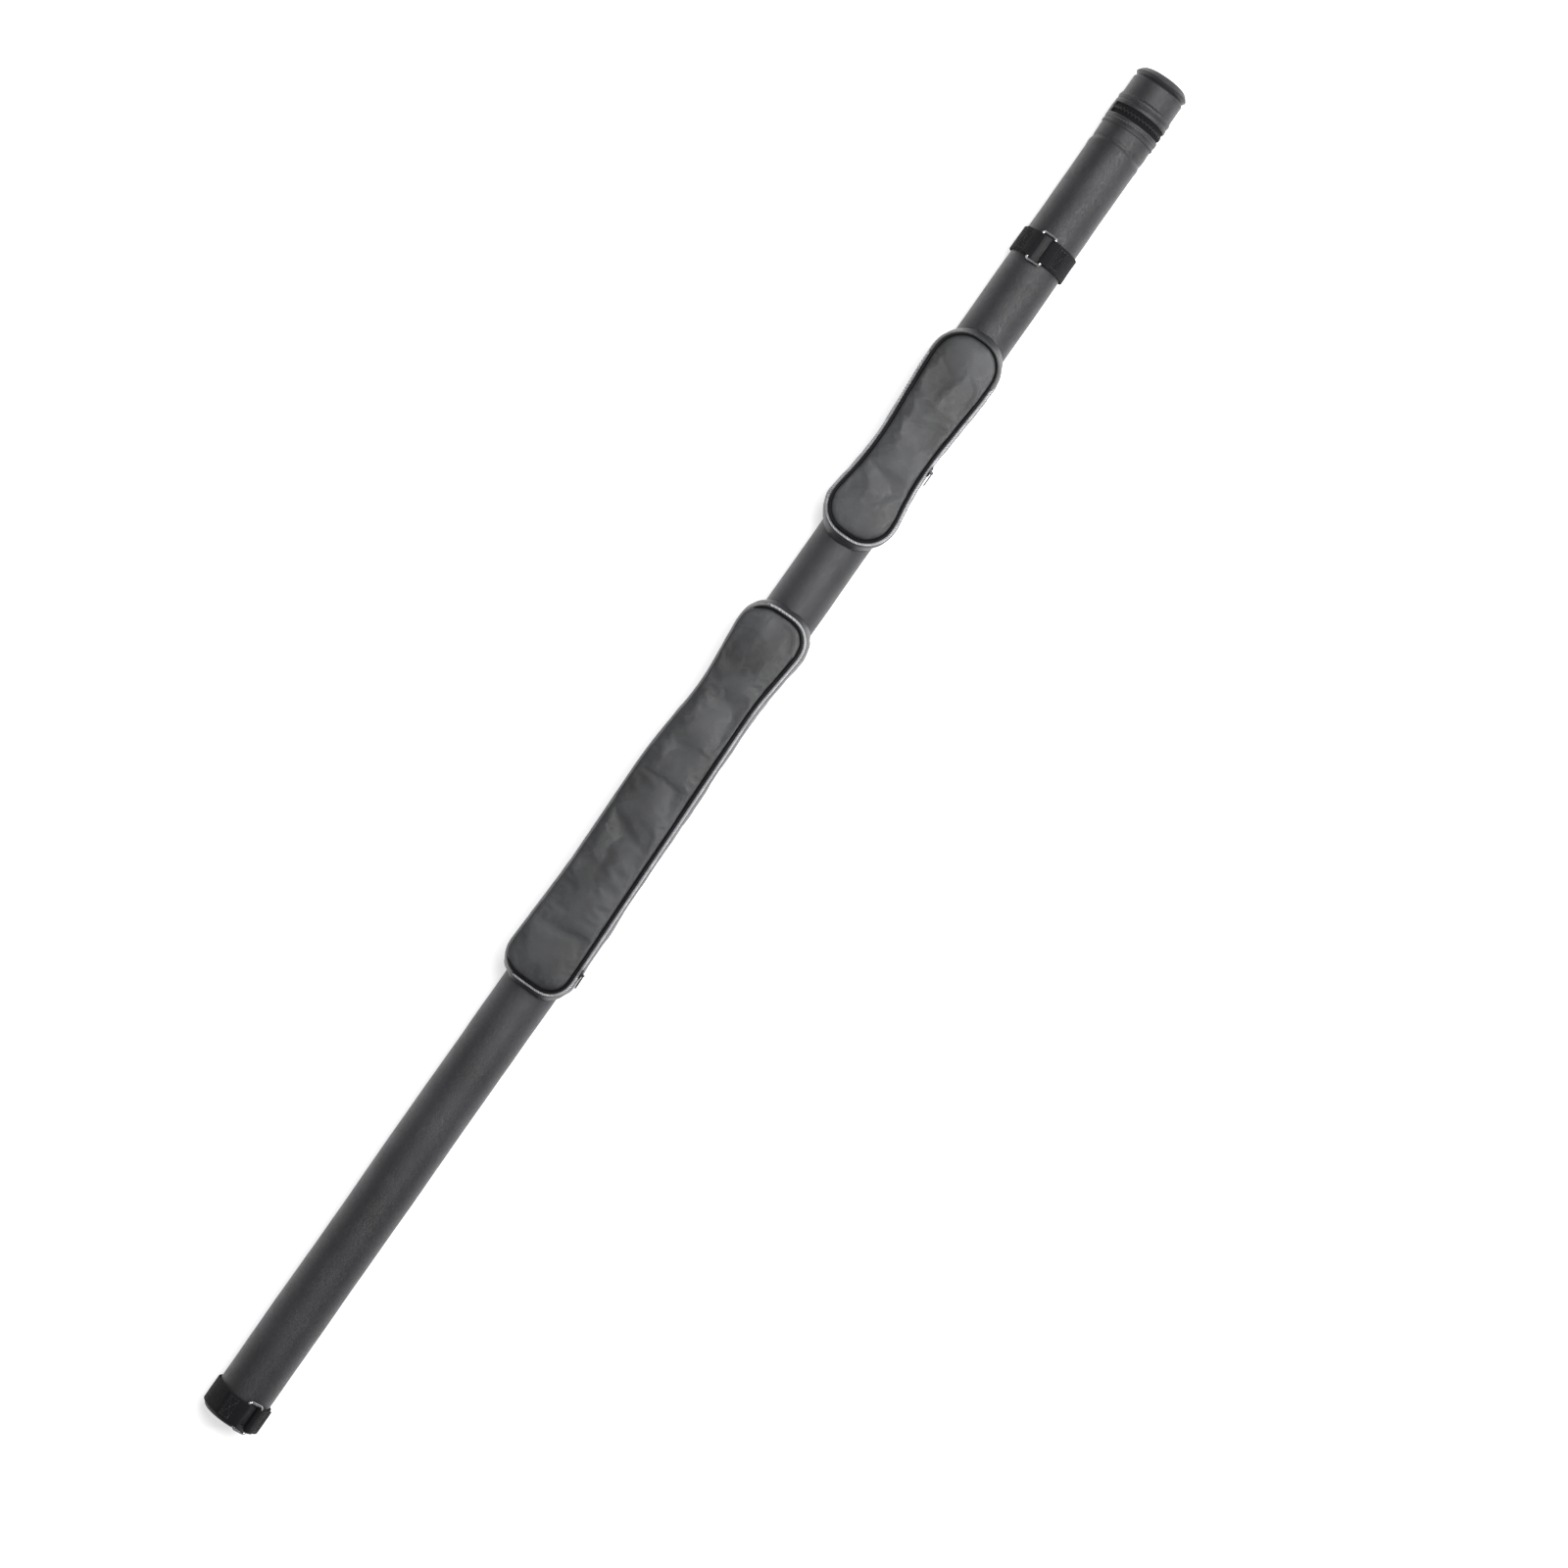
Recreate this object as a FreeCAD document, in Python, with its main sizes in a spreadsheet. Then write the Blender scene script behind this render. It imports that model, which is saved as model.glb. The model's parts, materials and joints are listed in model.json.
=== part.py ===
"""Long carrying tube for drawings: a leather-covered tube with a zipped, hinged lid,
two zipped pouches on its front and two webbing bands with strap rings.

The tube lies on its back along X, with the lid at +X and the pouches up.  Lengths along
the tube are measured from its bottom end, heights and angles from its own axis.  An angle
round the tube is 0 at the front (+Z) and 90 degrees at the +Y side.
"""
import FreeCAD, Part
import Sketcher
import math
import os

X, Y, Z = FreeCAD.Vector(1, 0, 0), FreeCAD.Vector(0, 1, 0), FreeCAD.Vector(0, 0, 1)

DIMENSIONS = {
    # the whole
    "overall_length": 1530.0,
    "axis_height": 28.6,
    "clearance": 0.3,
    # tube wall, from the inside out
    "bore_radius": 22.0,
    "lining_radius": 23.0,
    "tube_radius": 25.0,
    "cover_radius": 27.0,
    "cover_flat": 26.9,
    "body_start": 7.0,
    "tube_mouth": 1474.0,
    "cover_mouth": 1476.0,
    # bottom end
    "end_corner": 7.0,
    "end_wall": 1.8,
    "plug_length": 7.0,
    "pad_length": 6.0,
    # zip round the lid
    "zip_line": 1482.0,
    "zip_start": 114.0,
    "zip_extent": 312.0,
    "stop_arc": 3.0,
    "tooth_width": 2.0,
    "lid_tape_inner": 26.4,
    "lid_chain_outer": 28.4,
    "welt_radius": 28.1,
    "lower_welt_start": 1467.0,
    "lower_welt_length": 9.5,
    "upper_welt_start": 1487.5,
    "upper_welt_length": 11.5,
    # lid
    "lid_start": 1488.0,
    "lid_crease": 1520.5,
    "stiffener_radius": 25.2,
    "stiffener_inner": 23.6,
    "rim_radius": 27.7,
    "rim_corner": 6.0,
    # webbing bands and strap rings
    "band_width": 25.0,
    "band_inner": 28.3,
    "band_outer": 30.0,
    "webbing": 1.7,
    "lower_band_start": 4.0,
    "upper_band_start": 1318.5,
    "lower_ring_turn": -32.0,
    "upper_ring_turn": 7.7,
    "ring_wire": 1.4,
    "ring_length": 33.0,
    "ring_width": 17.0,
    "ring_height": 30.1,
    "ring_corner": 3.0,
    "tail_arc": 38.0,
    # heights and offsets shared by both pouches
    "back_thickness": 1.2,
    "gusset_wall": 2.1,
    "gusset_top": 39.2,
    "tape_inner": 1.3,
    "chain_inner": 1.9,
    "chain_outer": 4.1,
    "chain_bottom": 41.1,
    "parting": 42.9,
    "piping_radius": 1.8,
    "piping_height": 48.5,
    "panel_top": 51.4,
    "flap_chain_inner": 1.2,
    "flap_chain_outer": 3.4,
    # sliders and pulls
    "slider_length": 10.0,
    "slider_half_width": 3.9,
    "lid_slider_reach": 1.3,
    "slider_plate": 1.2,
    "lip_wall": 0.6,
    "lip_depth": 0.9,
    "ear_gap": 1.3,
    "ear_wall": 0.7,
    "ear_length": 3.4,
    "pin_radius": 0.5,
    "pin_height": 3.3,
    "pull_length": 14.0,
    "lid_pull_length": 10.5,
    "pull_width": 5.0,
    "pull_thickness": 1.2,
    "pull_hole": 1.1,
    "eye_radius": 1.2,
    "eye_width": 2.0,
    "lid_slider_turn": 122.0,
    "lid_pull_hang": 32.0,
    # small pouch
    "small_start": 1009.0,
    "small_finish": 1226.0,
    "small_low_corner": 26.0,
    "small_high_corner": 27.0,
    "small_low_lobe": 31.5,
    "small_low_radius": 70.0,
    "small_high_lobe": 31.0,
    "small_high_radius": 420.0,
    "small_waist": 25.75,
    "small_waist_at": 1100.0,
    "small_waist_radius": 300.0,
    "small_zip_end": 1196.0,
    "small_twist": 0.0,
    "small_slider_at": 1100.0,
    # large pouch
    "large_start": 501.0,
    "large_finish": 913.0,
    "large_low_corner": 20.0,
    "large_high_corner": 22.0,
    "large_low_lobe": 32.0,
    "large_low_radius": 90.0,
    "large_high_lobe": 31.0,
    "large_high_radius": 90.0,
    "large_waist": 25.5,
    "large_waist_at": 818.0,
    "large_waist_radius": 260.0,
    "large_dip": 29.0,
    "large_dip_at": 612.0,
    "large_dip_radius": 400.0,
    "large_belly": 30.8,
    "large_belly_at": 725.0,
    "large_belly_radius": 500.0,
    "large_zip_edge": 19.0,
    "large_twist": 4.0,
    "large_slider_at": 534.0,
}

doc = FreeCAD.newDocument("carrying_tube")
sheet = doc.addObject("Spreadsheet::Sheet", "dims")
for row, (alias, number) in enumerate(DIMENSIONS.items(), 1):
    sheet.set(f"A{row}", alias)
    sheet.set(f"B{row}", str(number))
    sheet.setAlias(f"B{row}", alias)
doc.recompute()

nodes = {}


def size(alias):
    """The value of one cell of the sheet."""
    return float(sheet.get(alias))


def keep(name, piece):
    """Names a finished sub-part; its label is its file's name."""
    piece.Label = name
    nodes[name] = piece
    return piece


# ---------------------------------------------------------------- round pieces on the axis

def bar(radius, start, length, arc=None, name="bar"):
    """A round bar on the tube's axis, or the wedge of it given by arc = (last angle, extent)."""
    solid = doc.addObject("Part::Cylinder", name)
    turn = 0.0
    if arc:
        last, extent = arc
        turn = 180.0 - last
        solid.setExpression("Angle", extent)
    solid.Placement = FreeCAD.Placement(
        FreeCAD.Vector(), FreeCAD.Rotation(X, turn) * FreeCAD.Rotation(Y, 90))
    solid.setExpression("Radius", radius)
    solid.setExpression("Height", length)
    solid.setExpression(".Placement.Base.x", f"{start} - dims.overall_length / 2")
    solid.setExpression(".Placement.Base.z", "dims.axis_height")
    return solid


def cut(base, tool, name="cut"):
    piece = doc.addObject("Part::Cut", name)
    piece.Base = base
    piece.Tool = tool
    return piece


def fuse(shapes, name="fuse"):
    piece = doc.addObject("Part::MultiFuse", name)
    piece.Shapes = shapes
    return piece


def rod(radius, length, axis, base, name="rod"):
    """A round rod from a point along x or y; every size is an expression."""
    solid = doc.addObject("Part::Cylinder", name)
    turn = FreeCAD.Rotation(Y, 90) if axis == "x" else FreeCAD.Rotation(X, -90)
    solid.Placement = FreeCAD.Placement(FreeCAD.Vector(), turn)
    solid.setExpression("Radius", radius)
    solid.setExpression("Height", length)
    for side, place in zip("xyz", base):
        solid.setExpression(f".Placement.Base.{side}", place)
    return solid


def ring(inner, outer, start, length, arc=None, name="ring"):
    """A sleeve on the tube's axis, whole or a part of a turn."""
    return cut(bar(outer, start, length, arc), bar(inner, start, length), name)


def slab(low, high, name="slab"):
    """A box from its low corner to its high corner, given as expressions in the world frame."""
    box = doc.addObject("Part::Box", name)
    for side, axis, a, b in zip(("Length", "Width", "Height"), "xyz", low, high):
        box.setExpression(side, f"({b}) - ({a})")
        box.setExpression(f".Placement.Base.{axis}", a)
    return box


def below(depth, name="below"):
    """Everything under a plane that lies this far below the tube's axis."""
    wide, far = "4 * dims.cover_radius", "dims.overall_length"
    floor = f"dims.axis_height - {depth}"
    return slab((f"-({far})", f"-({wide})", f"{floor} - {wide}"), (far, wide, floor), name)


keep("inner_tube", ring("dims.lining_radius", "dims.tube_radius", "dims.body_start",
                        "dims.tube_mouth - dims.body_start"))
keep("leather_cover", cut(ring("dims.tube_radius", "dims.cover_radius", "dims.body_start",
                               "dims.cover_mouth - dims.body_start"), below("dims.cover_flat")))
keep("bottom_plug", bar("dims.lining_radius", "dims.body_start", "dims.plug_length"))
keep("bottom_pad", bar("dims.lining_radius", "dims.body_start + dims.plug_length",
                       "dims.pad_length"))
keep("tube_lining", ring("dims.bore_radius", "dims.lining_radius",
                         "dims.body_start + dims.plug_length + dims.pad_length",
                         "dims.tube_mouth - dims.body_start - dims.plug_length"
                         " - dims.pad_length"))


# ---------------------------------------------------------------- sketched bodies

def new_body(name, place=None):
    body = doc.addObject("PartDesign::Body", name)
    body.Placement = place or FreeCAD.Placement()
    return keep(name, body)


def origin_plane(body, role):
    return next(feature for feature in body.Origin.OriginFeatures if feature.Role == role)


def sketch_on(body, role, outline, name, lift=None):
    """A closed sketch. outline holds ("line", p, q) and ("arc", centre, radius, start, end)
    in order, with angles in degrees; lift is an expression for its height above the plane."""
    sketch = body.newObject("Sketcher::SketchObject", name)
    sketch.AttachmentSupport = [(origin_plane(body, role), "")]
    sketch.MapMode = "FlatFace"
    if lift:
        sketch.setExpression(".AttachmentOffset.Base.z", lift)
    for kind, *data in outline:
        if kind == "line":
            start, end = (FreeCAD.Vector(*point, 0) for point in data)
            sketch.addGeometry(Part.LineSegment(start, end), False)
        else:
            centre, radius, first, last = data
            circle = Part.Circle(FreeCAD.Vector(*centre, 0), Z, radius)
            sketch.addGeometry(
                Part.ArcOfCircle(circle, math.radians(first), math.radians(last)), False)
    return sketch


def drive(sketch, kind, edge, expression):
    """Binds one dimension of a sketch, a Radius or a Distance of an edge, to the sheet."""
    value = sketch.Geometry[edge]
    number = value.Radius if kind == "Radius" else value.length()
    index = sketch.addConstraint(Sketcher.Constraint(kind, edge, number))
    sketch.renameConstraint(index, f"{kind}_{edge}")
    sketch.setExpression(f"Constraints.{kind}_{edge}", expression)


def on_axis(start):
    """The place of a body whose own X is the tube's axis, from a length along the tube."""
    return FreeCAD.Placement(
        FreeCAD.Vector(start - size("overall_length") / 2, 0, size("axis_height")),
        FreeCAD.Rotation())


def revolve(body, outline, name, driven=()):
    sketch = sketch_on(body, "XZ_Plane", outline, name)
    for kind, edge, expression in driven:
        drive(sketch, kind, edge, expression)
    turned = body.newObject("PartDesign::Revolution", name + "_turned")
    turned.Profile = sketch
    turned.ReferenceAxis = (sketch, ["H_Axis"])
    turned.Angle = 360.0
    return turned


def bottom_cup():
    """Leather cup that closes the bottom end, with a rounded edge."""
    corner, wall, outer = size("end_corner"), size("end_wall"), size("cover_radius")
    inner = corner - wall
    flat = outer - corner
    outline = [
        ("line", (0, 0), (0, flat)),
        ("arc", (corner, flat), corner, 90, 180),
        ("line", (corner, outer), (corner, outer - wall)),
        ("arc", (corner, flat), inner, 90, 180),
        ("line", (wall, flat), (wall, 0)),
        ("line", (wall, 0), (0, 0)),
    ]
    revolve(new_body("bottom_cup", on_axis(0)), outline, "cup_profile",
            [("Radius", 1, "dims.end_corner")])


def lid_end():
    """Padded leather end of the lid: a soft rim that stands a little proud, and a flat end."""
    start, finish = size("lid_crease"), size("overall_length")
    rim, corner, wall = size("rim_radius"), size("rim_corner"), size("end_wall")
    depth = finish - start
    shoulder = depth - corner
    outline = [
        ("line", (0, 0), (0, rim - 1)),
        ("line", (0, rim - 1), (1, rim)),
        ("line", (1, rim), (shoulder, rim)),
        ("arc", (shoulder, rim - corner), corner, 0, 90),
        ("line", (depth, rim - corner), (depth, 0)),
        ("line", (depth, 0), (0, 0)),
    ]
    foam = rim - wall - 1
    filling = [
        ("line", (0, 0), (0, foam)),
        ("line", (0, foam), (shoulder, foam)),
        ("line", (shoulder, foam), (depth - wall, rim - corner)),
        ("line", (depth - wall, rim - corner), (depth - wall, 0)),
        ("line", (depth - wall, 0), (0, 0)),
    ]
    body = new_body("lid_end", on_axis(start))
    revolve(body, outline, "rim_profile", [("Radius", 3, "dims.rim_corner")])
    hollow = sketch_on(body, "XZ_Plane", filling, "rim_hollow")
    groove = body.newObject("PartDesign::Groove", "rim_hollowed")
    groove.Profile = hollow
    groove.ReferenceAxis = (hollow, ["H_Axis"])
    groove.Angle = 360.0
    revolve(new_body("lid_foam", on_axis(start)), filling, "foam_profile",
            [("Distance", 0, "dims.rim_radius - dims.end_wall - 1")])


bottom_cup()
lid_end()

# ---------------------------------------------------------------- lid and its zip

keep("lid_cover", ring("dims.stiffener_radius", "dims.cover_radius", "dims.lid_start",
                       "dims.lid_crease - dims.lid_start"))
keep("lid_stiffener", ring("dims.stiffener_inner", "dims.stiffener_radius", "dims.lid_start",
                           "dims.lid_crease - dims.lid_start"))
keep("lid_lining", cut(bar("dims.stiffener_inner", "dims.lid_start",
                           "dims.lid_crease - dims.lid_start"),
                       bar("dims.bore_radius + 0.5", "dims.lid_start",
                           "dims.lid_crease - dims.lid_start - 1")))
keep("lower_welt", ring("dims.cover_radius", "dims.welt_radius", "dims.lower_welt_start",
                        "dims.lower_welt_length"))
keep("upper_welt", ring("dims.cover_radius", "dims.welt_radius", "dims.upper_welt_start",
                        "dims.upper_welt_length"))
zip_arc = (size("zip_start") + size("zip_extent"), "dims.zip_extent")
half_gap = "dims.clearance / 2"
keep("lower_tape", ring("dims.lid_tape_inner", "dims.cover_radius", "dims.cover_mouth",
                        f"dims.zip_line - {half_gap} - dims.cover_mouth", zip_arc))
keep("lower_chain", ring("dims.cover_radius", "dims.lid_chain_outer",
                         f"dims.zip_line - {half_gap} - dims.tooth_width",
                         "dims.tooth_width", zip_arc))
keep("upper_tape", ring("dims.lid_tape_inner", "dims.cover_radius",
                        f"dims.zip_line + {half_gap}",
                        f"dims.lid_start - dims.zip_line - {half_gap}", zip_arc))
keep("upper_chain", ring("dims.cover_radius", "dims.lid_chain_outer",
                         f"dims.zip_line + {half_gap}", "dims.tooth_width", zip_arc))
stops = [ring("dims.cover_radius", "dims.lid_chain_outer",
              f"dims.zip_line - {half_gap} - dims.tooth_width", "dims.tooth_width",
              (last, "dims.stop_arc"))
         for last in (size("zip_start"), zip_arc[0] + size("stop_arc"))]
keep("lid_zip_stops", fuse(stops))
keep("lid_hinge_strip", ring("dims.lid_tape_inner", "dims.welt_radius", "dims.cover_mouth + 0.5",
                             "dims.upper_welt_start - dims.cover_mouth - 0.5",
                             (size("zip_start") - size("stop_arc"),
                              "360 - dims.zip_extent - 2 * dims.stop_arc")))


# ---------------------------------------------------------------- webbing bands and rings

def cross_bar(radius, start, length, turn, side, height):
    """A round bar along X, beside the mid-line of a ring that is turned round the tube."""
    angle = math.radians(turn)
    across = f"{side} * {math.cos(angle):.9f} + {height} * {math.sin(angle):.9f}"
    up = f"{height} * {math.cos(angle):.9f} - {side} * {math.sin(angle):.9f}"
    base = (f"{start} - dims.overall_length / 2", across, f"dims.axis_height + {up}")
    return rod(radius, length, "x", base, "cross_bar")


def webbing_band(name, start, turn):
    """Webbing round the tube, flat where it rests, folded over both long bars of its ring."""
    length = "dims.band_width"
    reach = size("ring_width") / 2 - size("ring_wire")
    mouth = math.degrees(math.atan2(reach, size("ring_height")))
    strap = bar("dims.band_outer", start, length, (turn - mouth + 360, f"360 - {2 * mouth}"))
    strap = cut(strap, below("dims.axis_height"))
    hollow = cut(bar("dims.band_inner", start, length),
                 below("dims.axis_height - dims.webbing"))
    strap = cut(strap, hollow)
    bar_side = "(dims.ring_width / 2 - dims.ring_wire)"
    pieces = [strap]
    holes = []
    for side in (f"-1 * {bar_side}", bar_side):
        pieces.append(cross_bar("dims.ring_wire + dims.webbing", start, length, turn, side,
                                "dims.ring_height"))
        holes.append(cross_bar("dims.ring_wire + 0.02", start, length, turn, side,
                               "dims.ring_height"))
    for last in (turn - mouth, turn + mouth + size("tail_arc")):
        pieces.append(ring("dims.band_outer", "dims.band_outer + dims.webbing", start, length,
                           (last, "dims.tail_arc")))
    folded = cut(fuse(pieces), fuse(holes))
    keep(name, folded)


def strap_ring(name, start, turn):
    """Rectangular wire ring that lies across the front of its band."""
    place = FreeCAD.Placement(
        FreeCAD.Vector(start + size("band_width") / 2 - size("overall_length") / 2, 0,
                       size("axis_height")),
        FreeCAD.Rotation(X, -turn))
    body = new_body(name, place)
    wire, corner = size("ring_wire"), size("ring_corner")
    along = size("ring_length") / 2 - wire
    side = size("ring_width") / 2 - wire
    path = sketch_on(body, "XY_Plane", [
        ("line", (corner - along, -side), (along - corner, -side)),
        ("arc", (along - corner, corner - side), corner, 270, 360),
        ("line", (along, corner - side), (along, side - corner)),
        ("arc", (along - corner, side - corner), corner, 0, 90),
        ("line", (along - corner, side), (corner - along, side)),
        ("arc", (corner - along, side - corner), corner, 90, 180),
        ("line", (-along, side - corner), (-along, corner - side)),
        ("arc", (corner - along, corner - side), corner, 180, 270),
    ], name + "_path", "dims.ring_height")
    drive(path, "Radius", 1, "dims.ring_corner")
    section = body.newObject("Sketcher::SketchObject", name + "_section")
    section.AttachmentSupport = [(origin_plane(body, "YZ_Plane"), "")]
    section.MapMode = "FlatFace"
    section.addGeometry(Part.Circle(FreeCAD.Vector(-side, size("ring_height"), 0), Z, wire), False)
    drive(section, "Radius", 0, "dims.ring_wire")
    pipe = body.newObject("PartDesign::AdditivePipe", name + "_wire")
    pipe.Profile = section
    pipe.Spine = (path, [])


for where in ("lower", "upper"):
    webbing_band(f"{where}_band", f"dims.{where}_band_start", size(f"{where}_ring_turn"))
    strap_ring(f"{where}_ring", size(f"{where}_band_start"), size(f"{where}_ring_turn"))


# ---------------------------------------------------------------- pouch outlines

class Side:
    """One long side of a pouch: stations (length, half width, radius, sense) from the bottom
    end up, where the sense is 1 at a widest point and -1 at a narrowest."""

    def __init__(self, hand, stations, low_corner, high_corner):
        self.hand = hand
        self.stations = stations
        self.corners = (low_corner, high_corner)

    def moved(self, offset, flare):
        """The stations of the parallel side this far out, with its ends flare further on."""
        last = len(self.stations) - 1
        moved = []
        for index, (at, half, radius, sense) in enumerate(self.stations):
            shift = {0: -flare, last: flare}.get(index, 0.0)
            moved.append((at + shift, half + offset, radius + sense * offset, sense))
        return moved

    def runs(self, offset, flare):
        """Tangent arcs and lines as ("arc", start, middle, end) or ("line", start, end)."""
        stations = self.moved(offset, flare)
        low, high = (corner + offset for corner in self.corners)
        first, last = stations[0], stations[-1]
        runs = [quarter(first, low, -1)]
        point = first[:2]
        for one, two in zip(stations, stations[1:]):
            leave, join = tangent_points(one, two)
            runs.append(("arc", point, on_station(one, point, leave), leave))
            runs.append(("line", leave, join))
            runs.append(("arc", join, on_station(two, join, two[:2]), two[:2]))
            point = two[:2]
        runs.append(quarter(last, high, 1))
        return runs


def centre_of(station):
    at, half, radius, sense = station
    return at, half - sense * radius


def quarter(station, corner, way):
    """The quarter turn between a station and the end of the pouch."""
    at, half = station[:2]
    half_turn = corner * math.sqrt(0.5)
    end = (at + way * corner, half - corner)
    middle = (at + way * half_turn, half - corner + half_turn)
    return ("arc", end, middle, (at, half)) if way < 0 else ("arc", (at, half), middle, end)


def tangent_points(one, two):
    """Where the line that touches both stations' circles, from opposite sides, meets them."""
    (ax, ay), (bx, by) = centre_of(one), centre_of(two)
    reach = math.hypot(bx - ax, by - ay)
    slope = math.atan2(by - ay, bx - ax)
    swing = math.acos(min(1.0, max(-1.0, one[3] * (one[2] + two[2]) / reach)))
    angle = max((slope + swing, slope - swing), key=math.sin)
    normal = (math.cos(angle), math.sin(angle))
    leave = tuple(c + one[3] * one[2] * n for c, n in zip((ax, ay), normal))
    join = tuple(c + two[3] * two[2] * n for c, n in zip((bx, by), normal))
    return leave, join


def on_station(station, start, end):
    """The point half-way along a station's circle between two of its points."""
    centre = centre_of(station)
    middle = [(a + b) / 2 - c for a, b, c in zip(start, end, centre)]
    scale = station[2] / math.hypot(*middle)
    return tuple(c + m * scale for c, m in zip(centre, middle))


def outline(sides, offset, height, flare=0.0):
    """The closed wire of a pouch's outline at a height, this far outside its piping."""
    def at(point, hand):
        return FreeCAD.Vector(point[0] - size("overall_length") / 2, hand * point[1], height)

    edges = []
    loops = []
    for side in sides:
        runs = [(kind, [at(p, side.hand) for p in points])
                for kind, *points in side.runs(offset, flare)]
        loops.append(runs)
    right, left = loops
    left = [(kind, points[::-1]) for kind, points in left[::-1]]
    ends = [("line", [right[-1][1][-1], left[0][1][0]]),
            ("line", [left[-1][1][-1], right[0][1][0]])]
    for kind, points in right + ends[:1] + left + ends[1:]:
        if kind == "arc":
            edges.append(Part.Arc(*points).toShape())
        else:
            edges.append(Part.LineSegment(*points).toShape())
    return Part.Wire(edges)


# ---------------------------------------------------------------- pouches

# height above the tube's axis, distance outside the piping and extra length at each end
GUSSET_LEVELS = [(0.0, -4.8, 3.0), (14.0, 3.2, 4.5), (29.0, 5.3, 4.0), (39.2, 4.1, 1.0)]


class Pouch:
    """A zipped pouch on the front of the tube, with a flap that opens on its hinge."""

    def __init__(self, name, sides, hinge_region):
        self.name = name
        self.sides = sides
        self.hinge_region = hinge_region
        self.place = FreeCAD.Placement(
            FreeCAD.Vector(0, 0, size("axis_height")),
            FreeCAD.Rotation(X, -size(f"{name}_twist")))

    def add(self, piece, shape):
        feature = doc.addObject("Part::Feature", f"{self.name}_{piece}")
        feature.Shape = shape
        feature.Placement = self.place
        return keep(f"{self.name}_{piece}", feature)

    def prism(self, offset, low, high):
        face = Part.Face(outline(self.sides, offset, low))
        return face.extrude(Z * (high - low))

    def frame(self, inner, outer, low, high):
        return self.prism(outer, low, high).cut(self.prism(inner, low, high))

    def loft(self, levels, inset=0.0):
        wires = [outline(self.sides, out - inset, up, flare) for up, out, flare in levels]
        return Part.makeLoft(wires, True, True)

    def core(self, radius):
        """The tube as a solid bar, to cut a pouch's pieces round it."""
        span = size("overall_length")
        return Part.makeCylinder(radius, span, X * (-span / 2), X)

    def build(self):
        wall, top, parting = size("gusset_wall"), size("gusset_top"), size("parting")
        gap = size("clearance")
        tape, chain = size("tape_inner"), size("chain_inner")
        inside = self.loft(GUSSET_LEVELS, wall)
        skin = size("cover_radius")
        back = skin + size("back_thickness")
        self.add("gusset", self.loft(GUSSET_LEVELS).cut(inside).cut(self.core(skin)))
        room = self.loft(GUSSET_LEVELS, wall + 0.1)
        above = Part.makeBox(size("overall_length"), 2 * skin, skin,
                             FreeCAD.Vector(-size("overall_length") / 2, -skin, skin / 3))
        saddle = self.core(back).cut(self.core(skin)).common(room).common(above)
        self.add("back_panel", saddle)
        self.add("base_tape", self.frame(tape, chain, top - 5, parting))
        region = self.hinge_region
        chain_bottom = size("chain_bottom")
        teeth = self.frame(chain, size("chain_outer"), chain_bottom, parting)
        self.add("base_chain", teeth.cut(region))
        self.add("flap_hinge", self.frame(chain, size("chain_outer"), top, parting).common(region))
        low = parting + gap
        flap_in, flap_out = size("flap_chain_inner"), size("flap_chain_outer")
        self.add("flap_chain", self.frame(flap_in, flap_out, low, low + 2).cut(region))
        pipe = size("piping_radius")
        rim = size("piping_height")
        self.add("flap_tape", self.frame(flap_in - 0.6, flap_in, low, rim - pipe))
        self.add("flap_lining", self.prism(flap_in - 0.7, low, low + 1))
        self.add("flap_padding", self.prism(-pipe, low + 1, rim - 1))
        self.add("flap_panel", self.loft([(rim - 1, -pipe, 0), (rim + 0.6, -pipe, 0),
                                          (rim + 2, -7.0, 0), (size("panel_top"), -15.0, 0)]))
        self.add("flap_piping", self.piping(pipe, rim))

    def piping(self, radius, height):
        path = outline(self.sides, 0.0, height)
        edge = path.Edges[-1]
        start = edge.valueAt(edge.FirstParameter)
        heading = edge.tangentAt(edge.FirstParameter)
        section = Part.Wire(Part.makeCircle(radius, start, heading))
        edges = path.Edges[-1:] + path.Edges[:-1]
        return Part.Wire(edges).makePipeShell([section], True, False)


def region_beyond(low, high):
    """A box of the space about a pouch, in the tube's own frame."""
    low, high = FreeCAD.Vector(*low), FreeCAD.Vector(*high)
    span = high - low
    return Part.makeBox(span.x, span.y, span.z, low)


def small_pouch():
    waist = (size("small_waist_at"), size("small_waist"), size("small_waist_radius"), -1)
    low = (size("small_start") + size("small_low_corner"), size("small_low_lobe"),
           size("small_low_radius"), 1)
    high = (size("small_finish") - size("small_high_corner"), size("small_high_lobe"),
            size("small_high_radius"), 1)
    sides = [Side(hand, [low, waist, high], size("small_low_corner"), size("small_high_corner"))
             for hand in (-1, 1)]
    half = size("overall_length") / 2
    beyond = region_beyond((size("small_zip_end") - half, -60, 0), (half, 60, 80))
    return Pouch("small", sides, beyond)


def large_pouch():
    low_corner, high_corner = size("large_low_corner"), size("large_high_corner")
    low = (size("large_start") + low_corner, size("large_low_lobe"), size("large_low_radius"), 1)
    high = (size("large_finish") - high_corner, size("large_high_lobe"),
            size("large_high_radius"), 1)
    waist = (size("large_waist_at"), size("large_waist"), size("large_waist_radius"), -1)
    dip = (size("large_dip_at"), size("large_dip"), size("large_dip_radius"), -1)
    belly = (size("large_belly_at"), size("large_belly"), size("large_belly_radius"), 1)
    right = Side(-1, [low, waist, high], low_corner, high_corner)
    left = Side(1, [low, dip, belly, waist, high], low_corner, high_corner)
    half = size("overall_length") / 2
    beyond = region_beyond((-half, size("large_zip_edge"), 0), (half, 60, 80))
    return Pouch("large", [right, left], beyond)


small = small_pouch()
large = large_pouch()
small.build()
large.build()


# ---------------------------------------------------------------- zip sliders and pulls

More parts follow.
